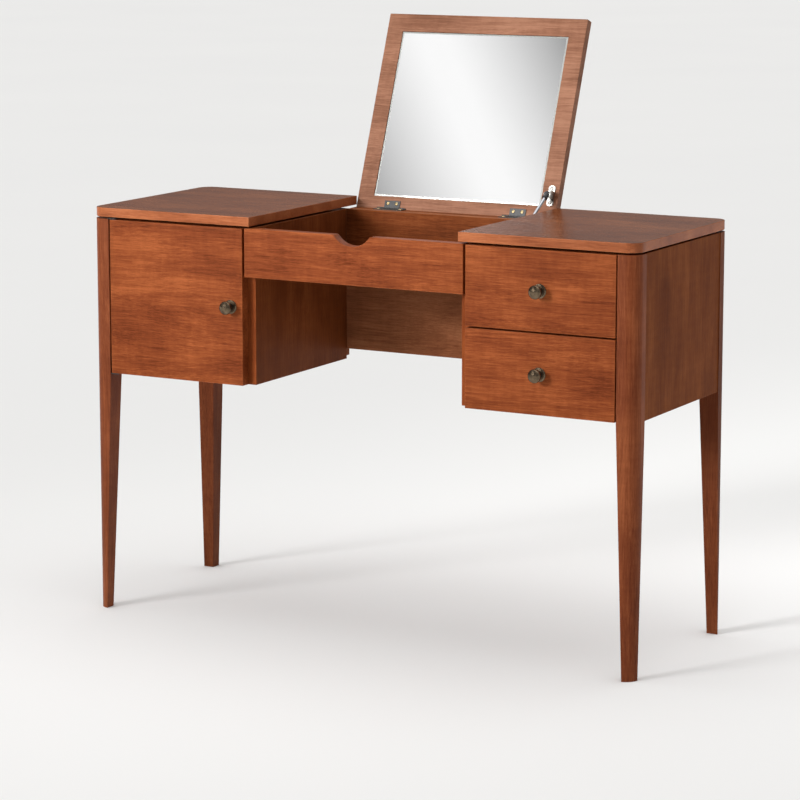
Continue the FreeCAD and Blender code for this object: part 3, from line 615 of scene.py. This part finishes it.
# %% Silver the mirror
BEVEL_GREY = (0.40, 0.41, 0.39)
FACE_ALIGNMENT = (0.993, 0.998)
silver = Finish("silvered_glass")
here = silver.place()
haze = silver.noise(here, 9.0, 4.0, 0.6).over(0.45, 0.95)
flat = facing(glass_normal, *FACE_ALIGNMENT)(silver, here)
silvering = silver.blend(haze * 0.5, (0.94, 0.94, 0.94), (0.91, 0.912, 0.91))
silver.feed("Base Color", silver.blend(flat, BEVEL_GREY, silvering))
silver.feed("Metallic", 0.35 + flat * 0.65)
silver.feed("Roughness", 0.30 - flat * 0.288 + haze * 0.02)
metals["mirror_glass"] = silver.material
print("finishes:", len(bpy.data.materials))

# %% [markdown]
# ## A finish for every board
#
# Neighbouring boards are never cut from the same place in a tree. Each shown board gets
# its own shift in the grain, and the grain follows the way the board was cut: along the
# fronts, tops, lid and back board, and upright in the legs, sides and partitions.

# %% Hand out the finishes
woods = {}


def stain_boards(names, stain, grain, wear_and_highlight=True, **how):
    """Give each named board a wood of its own, cut from a new place in the tree."""
    for name in names.split():
        edges = name if wear_and_highlight else None
        woods[name] = wood("wood_" + name, stain, grain, len(woods) + 1, edges_of=edges, **how)


TRAY_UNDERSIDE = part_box("tray_floor")[0].z
# Painted shade goes on the tops' upper faces.
TOP_FACE_SHADE = (TOP_SHADE_STAIN, facing((0, 0, 1)))
# Painted sheen goes on the lid's mirror side and edges.
LID_INSIDE_SHEEN = (LID_SHEEN_STAIN, facing(glass_normal, -0.9, -0.4))
FRONT_EDGE = (STAIN, facing((0, -1, 0)))
RAIL_BACK = (BACK_STAIN, facing((0, 1, 0)))
# Painted shade goes on the tray's side of the back board.
TRAY_BACK_SHADE = (RECESS_SHADE_STAIN, both(above(TRAY_UNDERSIDE), facing((0, -1, 0))))
stain_boards("door upper_drawer_front lower_drawer_front apron", STAIN, "x", roughness=0.38)
stain_boards("left_top right_top", LIT_LIP_STAIN, "x", roughness=0.26, gloss=0.14, contrast=0.9, second=TOP_FACE_SHADE)
stain_boards("lid", TOP_SHADE_STAIN, "x", False, roughness=0.42, contrast=1.05, second=LID_INSIDE_SHEEN)
stain_boards("centre_back_board", BACK_STAIN, "x", False, roughness=0.48, gloss=0.03, second=TRAY_BACK_SHADE)
stain_boards("hinge_rail", RECESS_SHADE_STAIN, "x", False, roughness=0.48, gloss=0.03, second=RAIL_BACK)
stain_boards("tray_floor top_rails top_spacers", RECESS_SHADE_STAIN, "x", False, roughness=0.48, gloss=0.03)
stain_boards("left_side_panel right_side_panel", SIDE_SHADE_STAIN, "z", roughness=0.44, contrast=0.9, gloss=0.02)
# The partitions carry painted shade on all but their front edges.
stain_boards("left_partition right_partition", RECESS_SHADE_STAIN, "z", contrast=0.7, gloss=0.03, second=FRONT_EDGE)
stain_boards("left_cabinet_back right_cabinet_back", BACK_STAIN, "z", False, roughness=0.50, gloss=0.03)
stain_boards("left_cabinet_bottom right_cabinet_bottom", STAIN, "x", False, roughness=0.50, gloss=0.03)
stain_boards("front_right_leg front_left_leg", FRONT_LEG_SHADE_STAIN, "z", False, contrast=0.8, gloss=0.08)
stain_boards("rear_right_leg rear_left_leg", REAR_LEG_SHADE_STAIN, "z", False, contrast=0.8, gloss=0.05)

PLAIN_GRAIN = {"drawer_sides": "y", "slide_battens": "y", "tray_cleats": "y"}
birch = {axis: wood("birch_" + axis, BIRCH, axis, 30 + n, 0.5, None, 0.7) for n, axis in enumerate("xy")}


def finish_for(node):
    """The material of a node: its own board, a metal, or plain birch inside."""
    if node in woods:
        return woods[node]
    if slot_of[node] in metals:
        return metals[slot_of[node]]
    axis = next((a for part, a in PLAIN_GRAIN.items() if node.endswith(part)), "x")
    return birch[axis]


def dress(obj, material):
    obj.data.materials.clear()
    obj.data.materials.append(material)


for name, obj in frame["nodes"].items():
    if obj.data.materials:
        for place in obj.material_slots:
            place.material = finish_for(name)
    else:
        obj.data.materials.append(finish_for(name))
print("boards:", len(woods), "birch:", len(birch), "metals:", len(metals))

# %% [markdown]
# ## Making a rebuilt piece plain
#
# A rebuilt piece may carry modifiers or a Geometry Nodes tree while it is made. At the
# end all of it is worked out into one plain mesh at the origin, with doubles merged and
# faces turned outwards. It then takes over from the node that it stands for.
#
# The flat boards need only a touch: no real board has a knife-sharp edge, and the thin
# line of light on a sanded edge is what makes it look solid. A narrow Bevel does that.

# %% Helpers that settle a piece
SAME_POINT = 0.002 * MM
FLAT_WITHIN = math.radians(0.6)
SHARP_FROM = math.radians(38)


def settle(obj, name, recalculate=True):
    """Work out every modifier and keep the result as a plain mesh."""
    bpy.context.view_layer.update()
    shown = obj.evaluated_get(bpy.context.evaluated_depsgraph_get())
    mesh = bpy.data.meshes.new_from_object(shown)
    obj.modifiers.clear()
    obj.data = mesh
    mesh.name = name
    if recalculate:
        work = bmesh.new()
        work.from_mesh(mesh)
        bmesh.ops.remove_doubles(work, verts=work.verts, dist=SAME_POINT)
        bmesh.ops.recalc_face_normals(work, faces=work.faces)
        work.to_mesh(mesh)
        work.free()
    return obj


def stands_for(obj, *nodes):
    """The piece takes over from CAD nodes and joins their body."""
    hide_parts(*nodes)
    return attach(obj, body_of[nodes[0]])


def smooth_flats(obj):
    """Smooth shading whose flat faces stay flat: large faces rule the normals."""
    obj.data.shade_smooth()
    weigh = obj.modifiers.new("flat_faces", "WEIGHTED_NORMAL")
    weigh.keep_sharp = False
    settle(obj, obj.name, recalculate=False)


def softened_copy(node, width, name):
    """A copy of a board or fitting whose sharp edges are rounded, as sanding does."""
    work = bmesh.new()
    work.from_mesh(frame["nodes"][node].data)
    bmesh.ops.remove_doubles(work, verts=work.verts, dist=SAME_POINT)
    bmesh.ops.dissolve_limit(work, angle_limit=FLAT_WITHIN, verts=work.verts, edges=work.edges)
    copy = mesh_object(name, from_bmesh(node + "_soft", work))
    bevel = copy.modifiers.new("arris", "BEVEL")
    bevel.width = width
    bevel.segments = 2
    bevel.limit_method = "ANGLE"
    bevel.angle_limit = SHARP_FROM
    bevel.use_clamp_overlap = True
    dress(copy, finish_for(node))
    settle(copy, copy.name)
    smooth_flats(copy)
    return stands_for(copy, node)


# %% Soften the boards' edges
SANDED = 0.7 * MM
BOARDS_TO_SOFTEN = (
    "left_side_panel", "right_side_panel", "left_partition", "right_partition", "left_cabinet_back",
    "right_cabinet_back", "left_cabinet_bottom", "right_cabinet_bottom", "centre_back_board", "tray_floor",
    "apron", "lid",
)
for board in BOARDS_TO_SOFTEN:
    softened_copy(board, SANDED, board + "_board")
print("softened:", len(BOARDS_TO_SOFTEN))

# %% [markdown]
# ## Legs and tops from one rule
#
# Each leg has a round outer corner from top to foot, upright outer faces, and two inner
# faces that slope inwards below the cabinets. That is a rule, so Geometry Nodes can draw
# it: start from a square, round the one outer corner, pull it up in two steps, and push
# in any point that lies further from the outer corner than the leg is thick there. One
# tree then makes all four legs. The tops follow a shorter rule: a rectangle with two
# round corners, pulled up once.

# %% Helpers for Geometry Nodes
class Recipe(Tree):
    """A Geometry Nodes tree with named inputs, run by a modifier."""

    def __init__(self, name):
        super().__init__(bpy.data.node_groups.new(name, "GeometryNodeTree"))
        self.tree.interface.new_socket("Geometry", in_out="OUTPUT", socket_type="NodeSocketGeometry")
        self.entry = self.tree.nodes.new("NodeGroupInput")
        self.names = {}

    def input(self, name, kind="NodeSocketFloat"):
        socket = self.tree.interface.new_socket(name, in_out="INPUT", socket_type=kind)
        self.names[name] = socket.identifier
        return Wire(self.tree, self.entry.outputs[name])

    def end(self, geometry, material, second=None, where=None):
        real = self.node("GeometryNodeRealizeInstances", inputs={"Geometry": geometry})
        done = self.node("GeometryNodeSetMaterial", inputs={"Geometry": real, "Material": material})
        if second is not None:
            chosen = {"Geometry": done, "Material": second, "Selection": where}
            done = self.node("GeometryNodeSetMaterial", inputs=chosen)
        out = self.tree.nodes.new("NodeGroupOutput")
        plug(self.tree, out.inputs[0], done)

    def run(self, obj, values):
        """Set each input by its identifier, then leave the modifier ready."""
        modifier = obj.modifiers.new("recipe", "NODES")
        modifier.node_group = self.tree
        for name, value in values.items():
            modifier[self.names[name]] = value
        return modifier


CORNER_STEPS = 14
NEARLY_ZERO = 1e-6


def rounded_plate(recipe, centre_x, centre_y, size_x, size_y, side_x, side_y, radius):
    """A flat plate at z 0 whose corners on the given sides are round."""
    size = {"Width": size_x, "Height": size_y}
    outline = recipe.node("GeometryNodeCurvePrimitiveQuadrilateral", inputs=size)
    x, y, _ = recipe.parts(recipe.node("GeometryNodeInputPosition"))
    on_x, on_y = x * side_x, y * side_y
    chosen = on_x.math("GREATER_THAN", on_x, 0.0) * on_y.math("GREATER_THAN", on_y, -NEARLY_ZERO)
    corners = {"Curve": outline, "Count": CORNER_STEPS, "Radius": radius * chosen}
    rounded = recipe.node("GeometryNodeFilletCurve", {"mode": "POLY"}, corners)
    plate = recipe.node("GeometryNodeFillCurve", {"mode": "NGONS"}, {"Curve": rounded})
    place = recipe.node("ShaderNodeCombineXYZ", inputs={"X": centre_x, "Y": centre_y})
    return recipe.node("GeometryNodeTransform", inputs={"Geometry": plate, "Translation": place})


def pulled_up(recipe, plate, heights):
    """Pull a flat plate up in steps and close it below."""
    solid, chosen = plate, None
    for height in heights:
        rise = recipe.tree.nodes.new("GeometryNodeExtrudeMesh")
        rise.mode = "FACES"
        plug(recipe.tree, rise.inputs["Mesh"], solid)
        plug(recipe.tree, rise.inputs["Offset"], (0.0, 0.0, 1.0))
        plug(recipe.tree, rise.inputs["Offset Scale"], height)
        rise.inputs["Individual"].default_value = False
        if chosen is not None:
            plug(recipe.tree, rise.inputs["Selection"], chosen)
        solid, chosen = Wire(recipe.tree, rise.outputs["Mesh"]), Wire(recipe.tree, rise.outputs["Top"])
    base = recipe.node("GeometryNodeFlipFaces", inputs={"Mesh": plate})
    join = recipe.tree.nodes.new("GeometryNodeJoinGeometry")
    recipe.tree.links.new(solid.socket, join.inputs[0])
    recipe.tree.links.new(base.socket, join.inputs[0])
    closed = {"Geometry": Wire(recipe.tree, join.outputs[0]), "Distance": 0.004 * MM}
    return recipe.node("GeometryNodeMergeByDistance", inputs=closed)


# %% Draw the leg's rule
leg_recipe = Recipe("tapered_leg")
corner_x, corner_y = leg_recipe.input("Corner X"), leg_recipe.input("Corner Y")
side_x, side_y = leg_recipe.input("Side X"), leg_recipe.input("Side Y")
full, foot = leg_recipe.input("Full size"), leg_recipe.input("Foot size")
shoulder, tall = leg_recipe.input("Shoulder height"), leg_recipe.input("Height")
round_corner = leg_recipe.input("Corner radius")
leg_wood = leg_recipe.input("Wood", "NodeSocketMaterial")

centre_x, centre_y = corner_x - side_x * full / 2, corner_y - side_y * full / 2
plate = rounded_plate(leg_recipe, centre_x, centre_y, full, full, side_x, side_y, round_corner)
post = pulled_up(leg_recipe, plate, (shoulder, tall - shoulder))
px, py, pz = leg_recipe.parts(leg_recipe.node("GeometryNodeInputPosition"))
allowed = foot + (full - foot) * (pz / shoulder).clipped()
depth_x = px.math("MINIMUM", (corner_x - px) * side_x, allowed)
depth_y = py.math("MINIMUM", (corner_y - py) * side_y, allowed)
pushed_in = {"X": corner_x - depth_x * side_x, "Y": corner_y - depth_y * side_y, "Z": pz}
moved = leg_recipe.node("ShaderNodeCombineXYZ", inputs=pushed_in)
tapered = leg_recipe.node("GeometryNodeSetPosition", inputs={"Geometry": post, "Position": moved})
closed = {"Geometry": tapered, "Distance": 0.01 * MM}
leg_recipe.end(leg_recipe.node("GeometryNodeMergeByDistance", inputs=closed), leg_wood)
print("leg rule:", len(leg_recipe.tree.nodes), "nodes")

# %% Stand the four legs
CORNER_RADIUS = 24.0 * MM
FOOT_SIZE = 21.0 * MM
CABINET_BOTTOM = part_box("left_cabinet_bottom")[0].z
ARRIS = 0.9 * MM


def round_arrises(obj):
    """Round every sharp edge of a leg or a top, as a block plane does."""
    bevel = obj.modifiers.new("arris", "BEVEL")
    bevel.width = ARRIS
    bevel.segments = 3
    bevel.limit_method = "ANGLE"
    bevel.angle_limit = math.radians(35)
    settle(obj, obj.name)


for node in ("front_right_leg", "front_left_leg", "rear_right_leg", "rear_left_leg"):
    low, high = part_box(node)
    sx = 1.0 if low.x + high.x > 0 else -1.0
    sy = -1.0 if node.startswith("front") else 1.0
    leg = mesh_object(node + "_turned", bpy.data.meshes.new(node))
    values = {"Corner X": high.x if sx > 0 else low.x, "Side X": sx}
    values.update({"Corner Y": low.y if sy < 0 else high.y, "Side Y": sy})
    values.update({"Full size": high.x - low.x, "Foot size": FOOT_SIZE, "Corner radius": CORNER_RADIUS})
    values.update({"Height": high.z, "Shoulder height": CABINET_BOTTOM, "Wood": woods[node]})
    leg_recipe.run(leg, values)
    settle(leg, leg.name)
    round_arrises(leg)
    smooth_flats(leg)
    stands_for(leg, node)
    print(leg.name, len(leg.data.polygons), "faces")

# %% Cut the two tops
TOP_CORNER = 25.0 * MM
top_recipe = Recipe("rounded_top")
mid_x, mid_y = top_recipe.input("Centre X"), top_recipe.input("Centre Y")
wide, deep = top_recipe.input("Width"), top_recipe.input("Depth")
outer_side, thick = top_recipe.input("Outer side"), top_recipe.input("Thickness")
base_z, top_radius = top_recipe.input("Underside"), top_recipe.input("Corner radius")
top_wood = top_recipe.input("Wood", "NodeSocketMaterial")
plate = rounded_plate(top_recipe, mid_x, mid_y, wide, deep, outer_side, 0.0, top_radius)
slab = pulled_up(top_recipe, plate, (thick,))
lift = top_recipe.node("ShaderNodeCombineXYZ", inputs={"Z": base_z})
raised = top_recipe.node("GeometryNodeTransform", inputs={"Geometry": slab, "Translation": lift})
top_recipe.end(raised, top_wood)

for node in ("left_top", "right_top"):
    low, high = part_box(node)
    top = mesh_object(node + "_slab", bpy.data.meshes.new(node))
    values = {"Centre X": (low.x + high.x) / 2, "Centre Y": (low.y + high.y) / 2}
    values.update({"Width": high.x - low.x, "Depth": high.y - low.y, "Thickness": high.z - low.z})
    values.update({"Outer side": 1.0 if low.x > 0 else -1.0, "Corner radius": TOP_CORNER})
    values.update({"Underside": low.z, "Wood": woods[node]})
    top_recipe.run(top, values)
    settle(top, top.name)
    round_arrises(top)
    smooth_flats(top)
    stands_for(top, node)
    print(top.name, len(top.data.polygons), "faces")

# %% [markdown]
# ## Turned knobs
#
# Each knob is turned on a lathe: a round base plate with a small step, a narrow waist,
# and a head like a flattened ball with a soft rim. A lathe piece is a half outline spun
# about its axis, so that is how it is made here.

# %% Turn the knobs
def arc_points(centre, radius, start, end, count):
    """Points along an arc in the outline's plane; angles in degrees."""
    turns = [math.radians(start + (end - start) * n / count) for n in range(count + 1)]
    return [(centre[0] + radius * math.cos(t), centre[1] + radius * math.sin(t)) for t in turns]


def lathe(name, outline, place, axis, material, steps):
    """Spin (radius, height) points about an axis that starts at place."""
    work = bmesh.new()
    rows = [work.verts.new((radius, 0.0, height)) for radius, height in outline]
    edges = [work.edges.new(pair) for pair in zip(rows, rows[1:])]
    turning = {"cent": (0, 0, 0), "axis": (0, 0, 1), "angle": 2 * math.pi, "steps": steps}
    bmesh.ops.spin(work, geom=rows + edges, use_merge=True, **turning)
    bmesh.ops.remove_doubles(work, verts=work.verts, dist=SAME_POINT)
    bmesh.ops.dissolve_degenerate(work, edges=work.edges, dist=0.001 * MM)
    bmesh.ops.recalc_face_normals(work, faces=work.faces)
    turn = Vector((0, 0, 1)).rotation_difference(Vector(axis)).to_matrix().to_4x4()
    bmesh.ops.transform(work, matrix=Matrix.Translation(Vector(place)) @ turn, verts=work.verts)
    made = mesh_object(name, from_bmesh(name, work))
    dress(made, material)
    made.data.shade_smooth()
    made.data.set_sharp_from_angle(angle=math.radians(40))
    return made


def knob_outline(reach, head, base):
    """Half of a knob's outline, from the middle of its base to the tip of its head."""
    rim = 0.30 * head
    points = [(0.0, 0.0), (base, 0.0), (base, 0.9 * MM)]
    points += [(base - 0.5 * MM, 1.3 * MM), (base * 0.84, 1.55 * MM), (base * 0.80, 1.75 * MM)]
    points += [(base * 0.78, 2.3 * MM), (base * 0.62, 2.75 * MM), (base * 0.50, 3.5 * MM)]
    points += [(0.44 * head, 5.0 * MM), (0.43 * head, 7.6 * MM), (0.47 * head, 10.0 * MM)]
    points += [(0.60 * head, 12.4 * MM), (0.80 * head, 14.3 * MM)]
    rim_centre = (head - rim, reach - 6.3 * MM)
    points += arc_points(rim_centre, rim, -48, 52, 12)
    edge = points[-1]
    crown = reach - edge[1]
    radius = (edge[0] ** 2 + crown**2) / (2 * crown)
    sweep = math.degrees(math.asin(edge[0] / radius))
    points += arc_points((0.0, reach - radius), radius, 90 - sweep, 90, 16)[1:]
    points[-1] = (0.0, reach)
    return points


for node in ("door_knob", "upper_drawer_knob", "lower_drawer_knob"):
    low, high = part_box(node)
    middle = Vector(((low.x + high.x) / 2, high.y, (low.z + high.z) / 2))
    radius = (high.x - low.x) / 2
    outline = knob_outline(high.y - low.y, radius * 0.97, radius)
    knob = lathe(node + "_turned", outline, middle, (0, -1, 0), metals["knob_metal"], 72)
    stands_for(knob, node)
    print(knob.name, len(knob.data.polygons), "faces")

# %% [markdown]
# ## The stay that holds the lid
#
# A gas strut holds the lid open: a polished rod slides in a black tube, and a moulded
# socket at each end snaps over a stud. Its parts are all turned shapes along one line.
# That line comes from the model itself: the joint that slides gives its direction.

# %% Turn the strut's parts
joints = {joint["name"]: joint for joint in frame["joints"]}
slide_axis = Vector(joints["strut_slide"]["axis"]).normalized()
strut_dir = -slide_axis
ball_high = Vector(joints["strut_pivot"]["pos_m"])


def along_span(node):
    """Where a node starts and ends along the strut, measured from its upper ball."""
    reach = [(v.co - ball_high).dot(strut_dir) for v in frame["nodes"][node].data.vertices]
    return min(reach), max(reach)


def off_axis(node):
    """A round node's radius about the strut's line."""
    gaps = []
    for v in frame["nodes"][node].data.vertices:
        out = v.co - ball_high
        gaps.append((out - out.dot(strut_dir) * strut_dir).length)
    return max(gaps)


def strut_part(node, outline, name):
    """A turned part of the strut that takes over from its node."""
    made = lathe(name, outline, ball_high, strut_dir, finish_for(node), 40)
    return stands_for(made, node)


ROD_CHAMFER = 0.4 * MM
rod_start, rod_end = along_span("strut_rod")
rod_radius = off_axis("strut_rod")
rod_outline = [(0.0, rod_start), (rod_radius - ROD_CHAMFER, rod_start), (rod_radius, rod_start + ROD_CHAMFER)]
rod_outline += [(rod_radius, rod_end - ROD_CHAMFER), (rod_radius - ROD_CHAMFER, rod_end), (0.0, rod_end)]
strut_part("strut_rod", rod_outline, "polished_rod")

# %% Turn the tube, with its crimped mouth and rounded foot
BORE_ROOM = 0.35 * MM
TUBE_FLOOR = 4.0 * MM
# How far each point lies inside the tube's full radius, and how far from its end.
CRIMPED_MOUTH = ((2.0, 0.0), (0.9, 0.5), (0.6, 2.2), (0.9, 3.0), (0.2, 4.4), (0.0, 5.6))
ROUNDED_FOOT = ((0.0, 3.0), (0.7, 0.9), (2.2, 0.0))
tube_start, tube_end = along_span("strut_tube")
tube_radius = off_axis("strut_tube")
bore = rod_radius + BORE_ROOM
tube_outline = [(bore, tube_start)]
tube_outline += [(tube_radius - dip * MM, tube_start + down * MM) for dip, down in CRIMPED_MOUTH]
tube_outline += [(tube_radius - dip * MM, tube_end - up * MM) for dip, up in ROUNDED_FOOT]
tube_outline += [(0.0, tube_end), (0.0, tube_end - TUBE_FLOOR), (bore, tube_end - TUBE_FLOOR)]
tube_outline.append((bore, tube_start))
strut_part("strut_tube", tube_outline, "gas_tube")
print("strut:", round((tube_end - rod_start) / MM, 1), "mm from rod end to tube end")

# %% [markdown]
# ## Screws
#
# The hinge leaves and brackets are held by small cross-slotted screws with domed heads.
# One head is made with a lathe and a cut, and Geometry Nodes then sets a copy on every
# screw's place, each turned by its own amount, because no one lines their slots up.

# %% Find where the screws sit
def islands(node):
    """The separate solids in a node, as lists of points."""
    work = bmesh.new()
    work.from_mesh(frame["nodes"][node].data)
    bmesh.ops.remove_doubles(work, verts=work.verts, dist=SAME_POINT)
    left, groups = set(work.verts), []
    while left:
        todo, group = [left.pop()], []
        while todo:
            vert = todo.pop()
            group.append(vert.co.copy())
            for edge in vert.link_edges:
                other = edge.other_vert(vert)
                if other in left:
                    left.remove(other)
                    todo.append(other)
        groups.append(group)
    work.free()
    return groups


# %% Tell which end of a screw is its head
HEAD_RADIUS = 3.3 * MM
HEAD_HEIGHT = 1.1 * MM


def candidate_axes():
    """The directions a screw may point: the table's own axes and the lid's face."""
    axes = [Vector(v) for v in ((0, 0, 1), (0, 0, -1), (1, 0, 0), (-1, 0, 0), (0, -1, 0), (0, 1, 0))]
    return axes + [glass_normal, -glass_normal]


def head_frame(points):
    """The middle and direction of a screw's head, the end that is as wide as a head."""
    best = None
    for axis in candidate_axes():
        heights = [p.dot(axis) for p in points]
        top = max(heights)
        rim = [p for p, h in zip(points, heights) if top - h < 0.02 * MM]
        middle = sum(rim, Vector()) / len(rim)
        wide = max((p - middle).length for p in rim)
        if best is None or abs(wide - HEAD_RADIUS) < best[0]:
            best = (abs(wide - HEAD_RADIUS), middle, axis)
    return best[1], best[2]


# %% Make one screw head
def cross_head():
    """A domed head with a cross recess, pointing along +Z from z 0."""
    dome = [(0.0, -0.3 * MM), (HEAD_RADIUS * 0.97, -0.3 * MM), (HEAD_RADIUS, 0.05 * MM)]
    dome += [(HEAD_RADIUS * 0.96, HEAD_HEIGHT * 0.42), (HEAD_RADIUS * 0.80, HEAD_HEIGHT * 0.74)]
    dome += [(HEAD_RADIUS * 0.50, HEAD_HEIGHT * 0.94), (0.0, HEAD_HEIGHT)]
    head = lathe("screw_head", dome, (0, 0, 0), (0, 0, 1), metals["screw_metal"], 28)
    cutter = bmesh.new()
    for turn in (0.0, math.pi / 2):
        made = bmesh.ops.create_cube(cutter, size=1.0)["verts"]
        bmesh.ops.scale(cutter, vec=(HEAD_RADIUS * 1.15, HEAD_RADIUS * 0.34, HEAD_HEIGHT * 1.7), verts=made)
        bmesh.ops.translate(cutter, vec=(0, 0, HEAD_HEIGHT * 1.02), verts=made)
        bmesh.ops.rotate(cutter, matrix=Matrix.Rotation(turn, 3, "Z"), verts=made)
    blade = mesh_object("cross_blade", from_bmesh("cross_blade", cutter))
    cut = head.modifiers.new("recess", "BOOLEAN")
    cut.operation = "DIFFERENCE"
    cut.solver = "EXACT"
    cut.use_self = True
    cut.object = blade
    settle(head, "screw_head")
    bpy.data.objects.remove(blade)
    return head


pattern_head = cross_head()
print("screw head:", len(pattern_head.data.polygons), "faces")

# %% Set a head on every screw
SPIN_SEED = 7
MOST_SPIN = 1.5
PAST_THE_STRUT = 20 * MM
screw_recipe = Recipe("screws_on_seats")
seats = screw_recipe.input("Seats", "NodeSocketGeometry")
pattern = screw_recipe.input("Head", "NodeSocketObject")
spin = screw_recipe.input("Most spin")
brass = screw_recipe.input("Metal", "NodeSocketMaterial")
pale = screw_recipe.input("Metal by the strut", "NodeSocketMaterial")
strut_side = screw_recipe.input("Strut side from")
head_mesh = screw_recipe.node("GeometryNodeObjectInfo", inputs={"Object": pattern}, output="Geometry")
attribute = {"data_type": "FLOAT_VECTOR"}
outward = screw_recipe.node("GeometryNodeInputNamedAttribute", attribute, {"Name": "facing"})
stand = screw_recipe.node("FunctionNodeAlignRotationToVector", {"axis": "Z"}, {"Vector": outward})
drawn = {"Max": spin, "Seed": SPIN_SEED}
chance = screw_recipe.node("FunctionNodeRandomValue", {"data_type": "FLOAT"}, drawn, 1)
about_itself = {"Axis": (0.0, 0.0, 1.0), "Angle": chance}
twist = screw_recipe.node("FunctionNodeAxisAngleToRotation", inputs=about_itself)
turned = {"Rotation": stand, "Rotate By": twist}
rotation = screw_recipe.node("FunctionNodeRotateRotation", {"rotation_space": "LOCAL"}, turned)
copies = {"Points": seats, "Instance": head_mesh, "Rotation": rotation}
planted = screw_recipe.node("GeometryNodeInstanceOnPoints", inputs=copies)
out_x = screw_recipe.parts(screw_recipe.node("GeometryNodeInputPosition"))[0]
screw_recipe.end(planted, brass, pale, out_x.math("GREATER_THAN", out_x, strut_side))


def screws_for(node, name):
    """All the screw heads of one body, as one plain piece."""
    places = [head_frame(group) for group in islands(node)]
    mesh = bpy.data.meshes.new(name)
    mesh.from_pydata([list(top - out * HEAD_HEIGHT) for top, out in places], [], [])
    facing_data = mesh.attributes.new("facing", "FLOAT_VECTOR", "POINT")
    for value, (top, out) in zip(facing_data.data, places):
        value.vector = out
    made = mesh_object(name, mesh)
    values = {"Head": pattern_head, "Most spin": MOST_SPIN, "Metal": metals["screw_metal"]}
    values["Metal by the strut"] = metals["nickel"]
    values["Strut side from"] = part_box("strut_lid_bracket")[0].x - PAST_THE_STRUT
    screw_recipe.run(made, values)
    settle(made, name, recalculate=False)
    print(name, len(places), "screws")
    return stands_for(made, node)


screws_for("lid_screws", "lid_screw_heads")
screws_for("carcass_screws", "carcass_screw_heads")
bpy.data.objects.remove(pattern_head)

# %% [markdown]
# ## Small fittings
#
# Hinge leaves, brackets and sockets keep the model's shape, and only their sharp edges
# are rounded, because pressed and moulded parts never have a true corner.

# %% Soften the fittings
FITTINGS = {
    "lid_hinge_leaves": 0.35, "lid_hinge_bases": 0.35, "strut_lid_bracket": 0.35,
    "strut_cabinet_bracket": 0.35, "door_pivot_brackets": 0.3, "door_catch": 0.8, "door_strike": 0.3,
}
for node, width in FITTINGS.items():
    softened_copy(node, width * MM, node + "_pressed")
print("fittings:", len(FITTINGS))
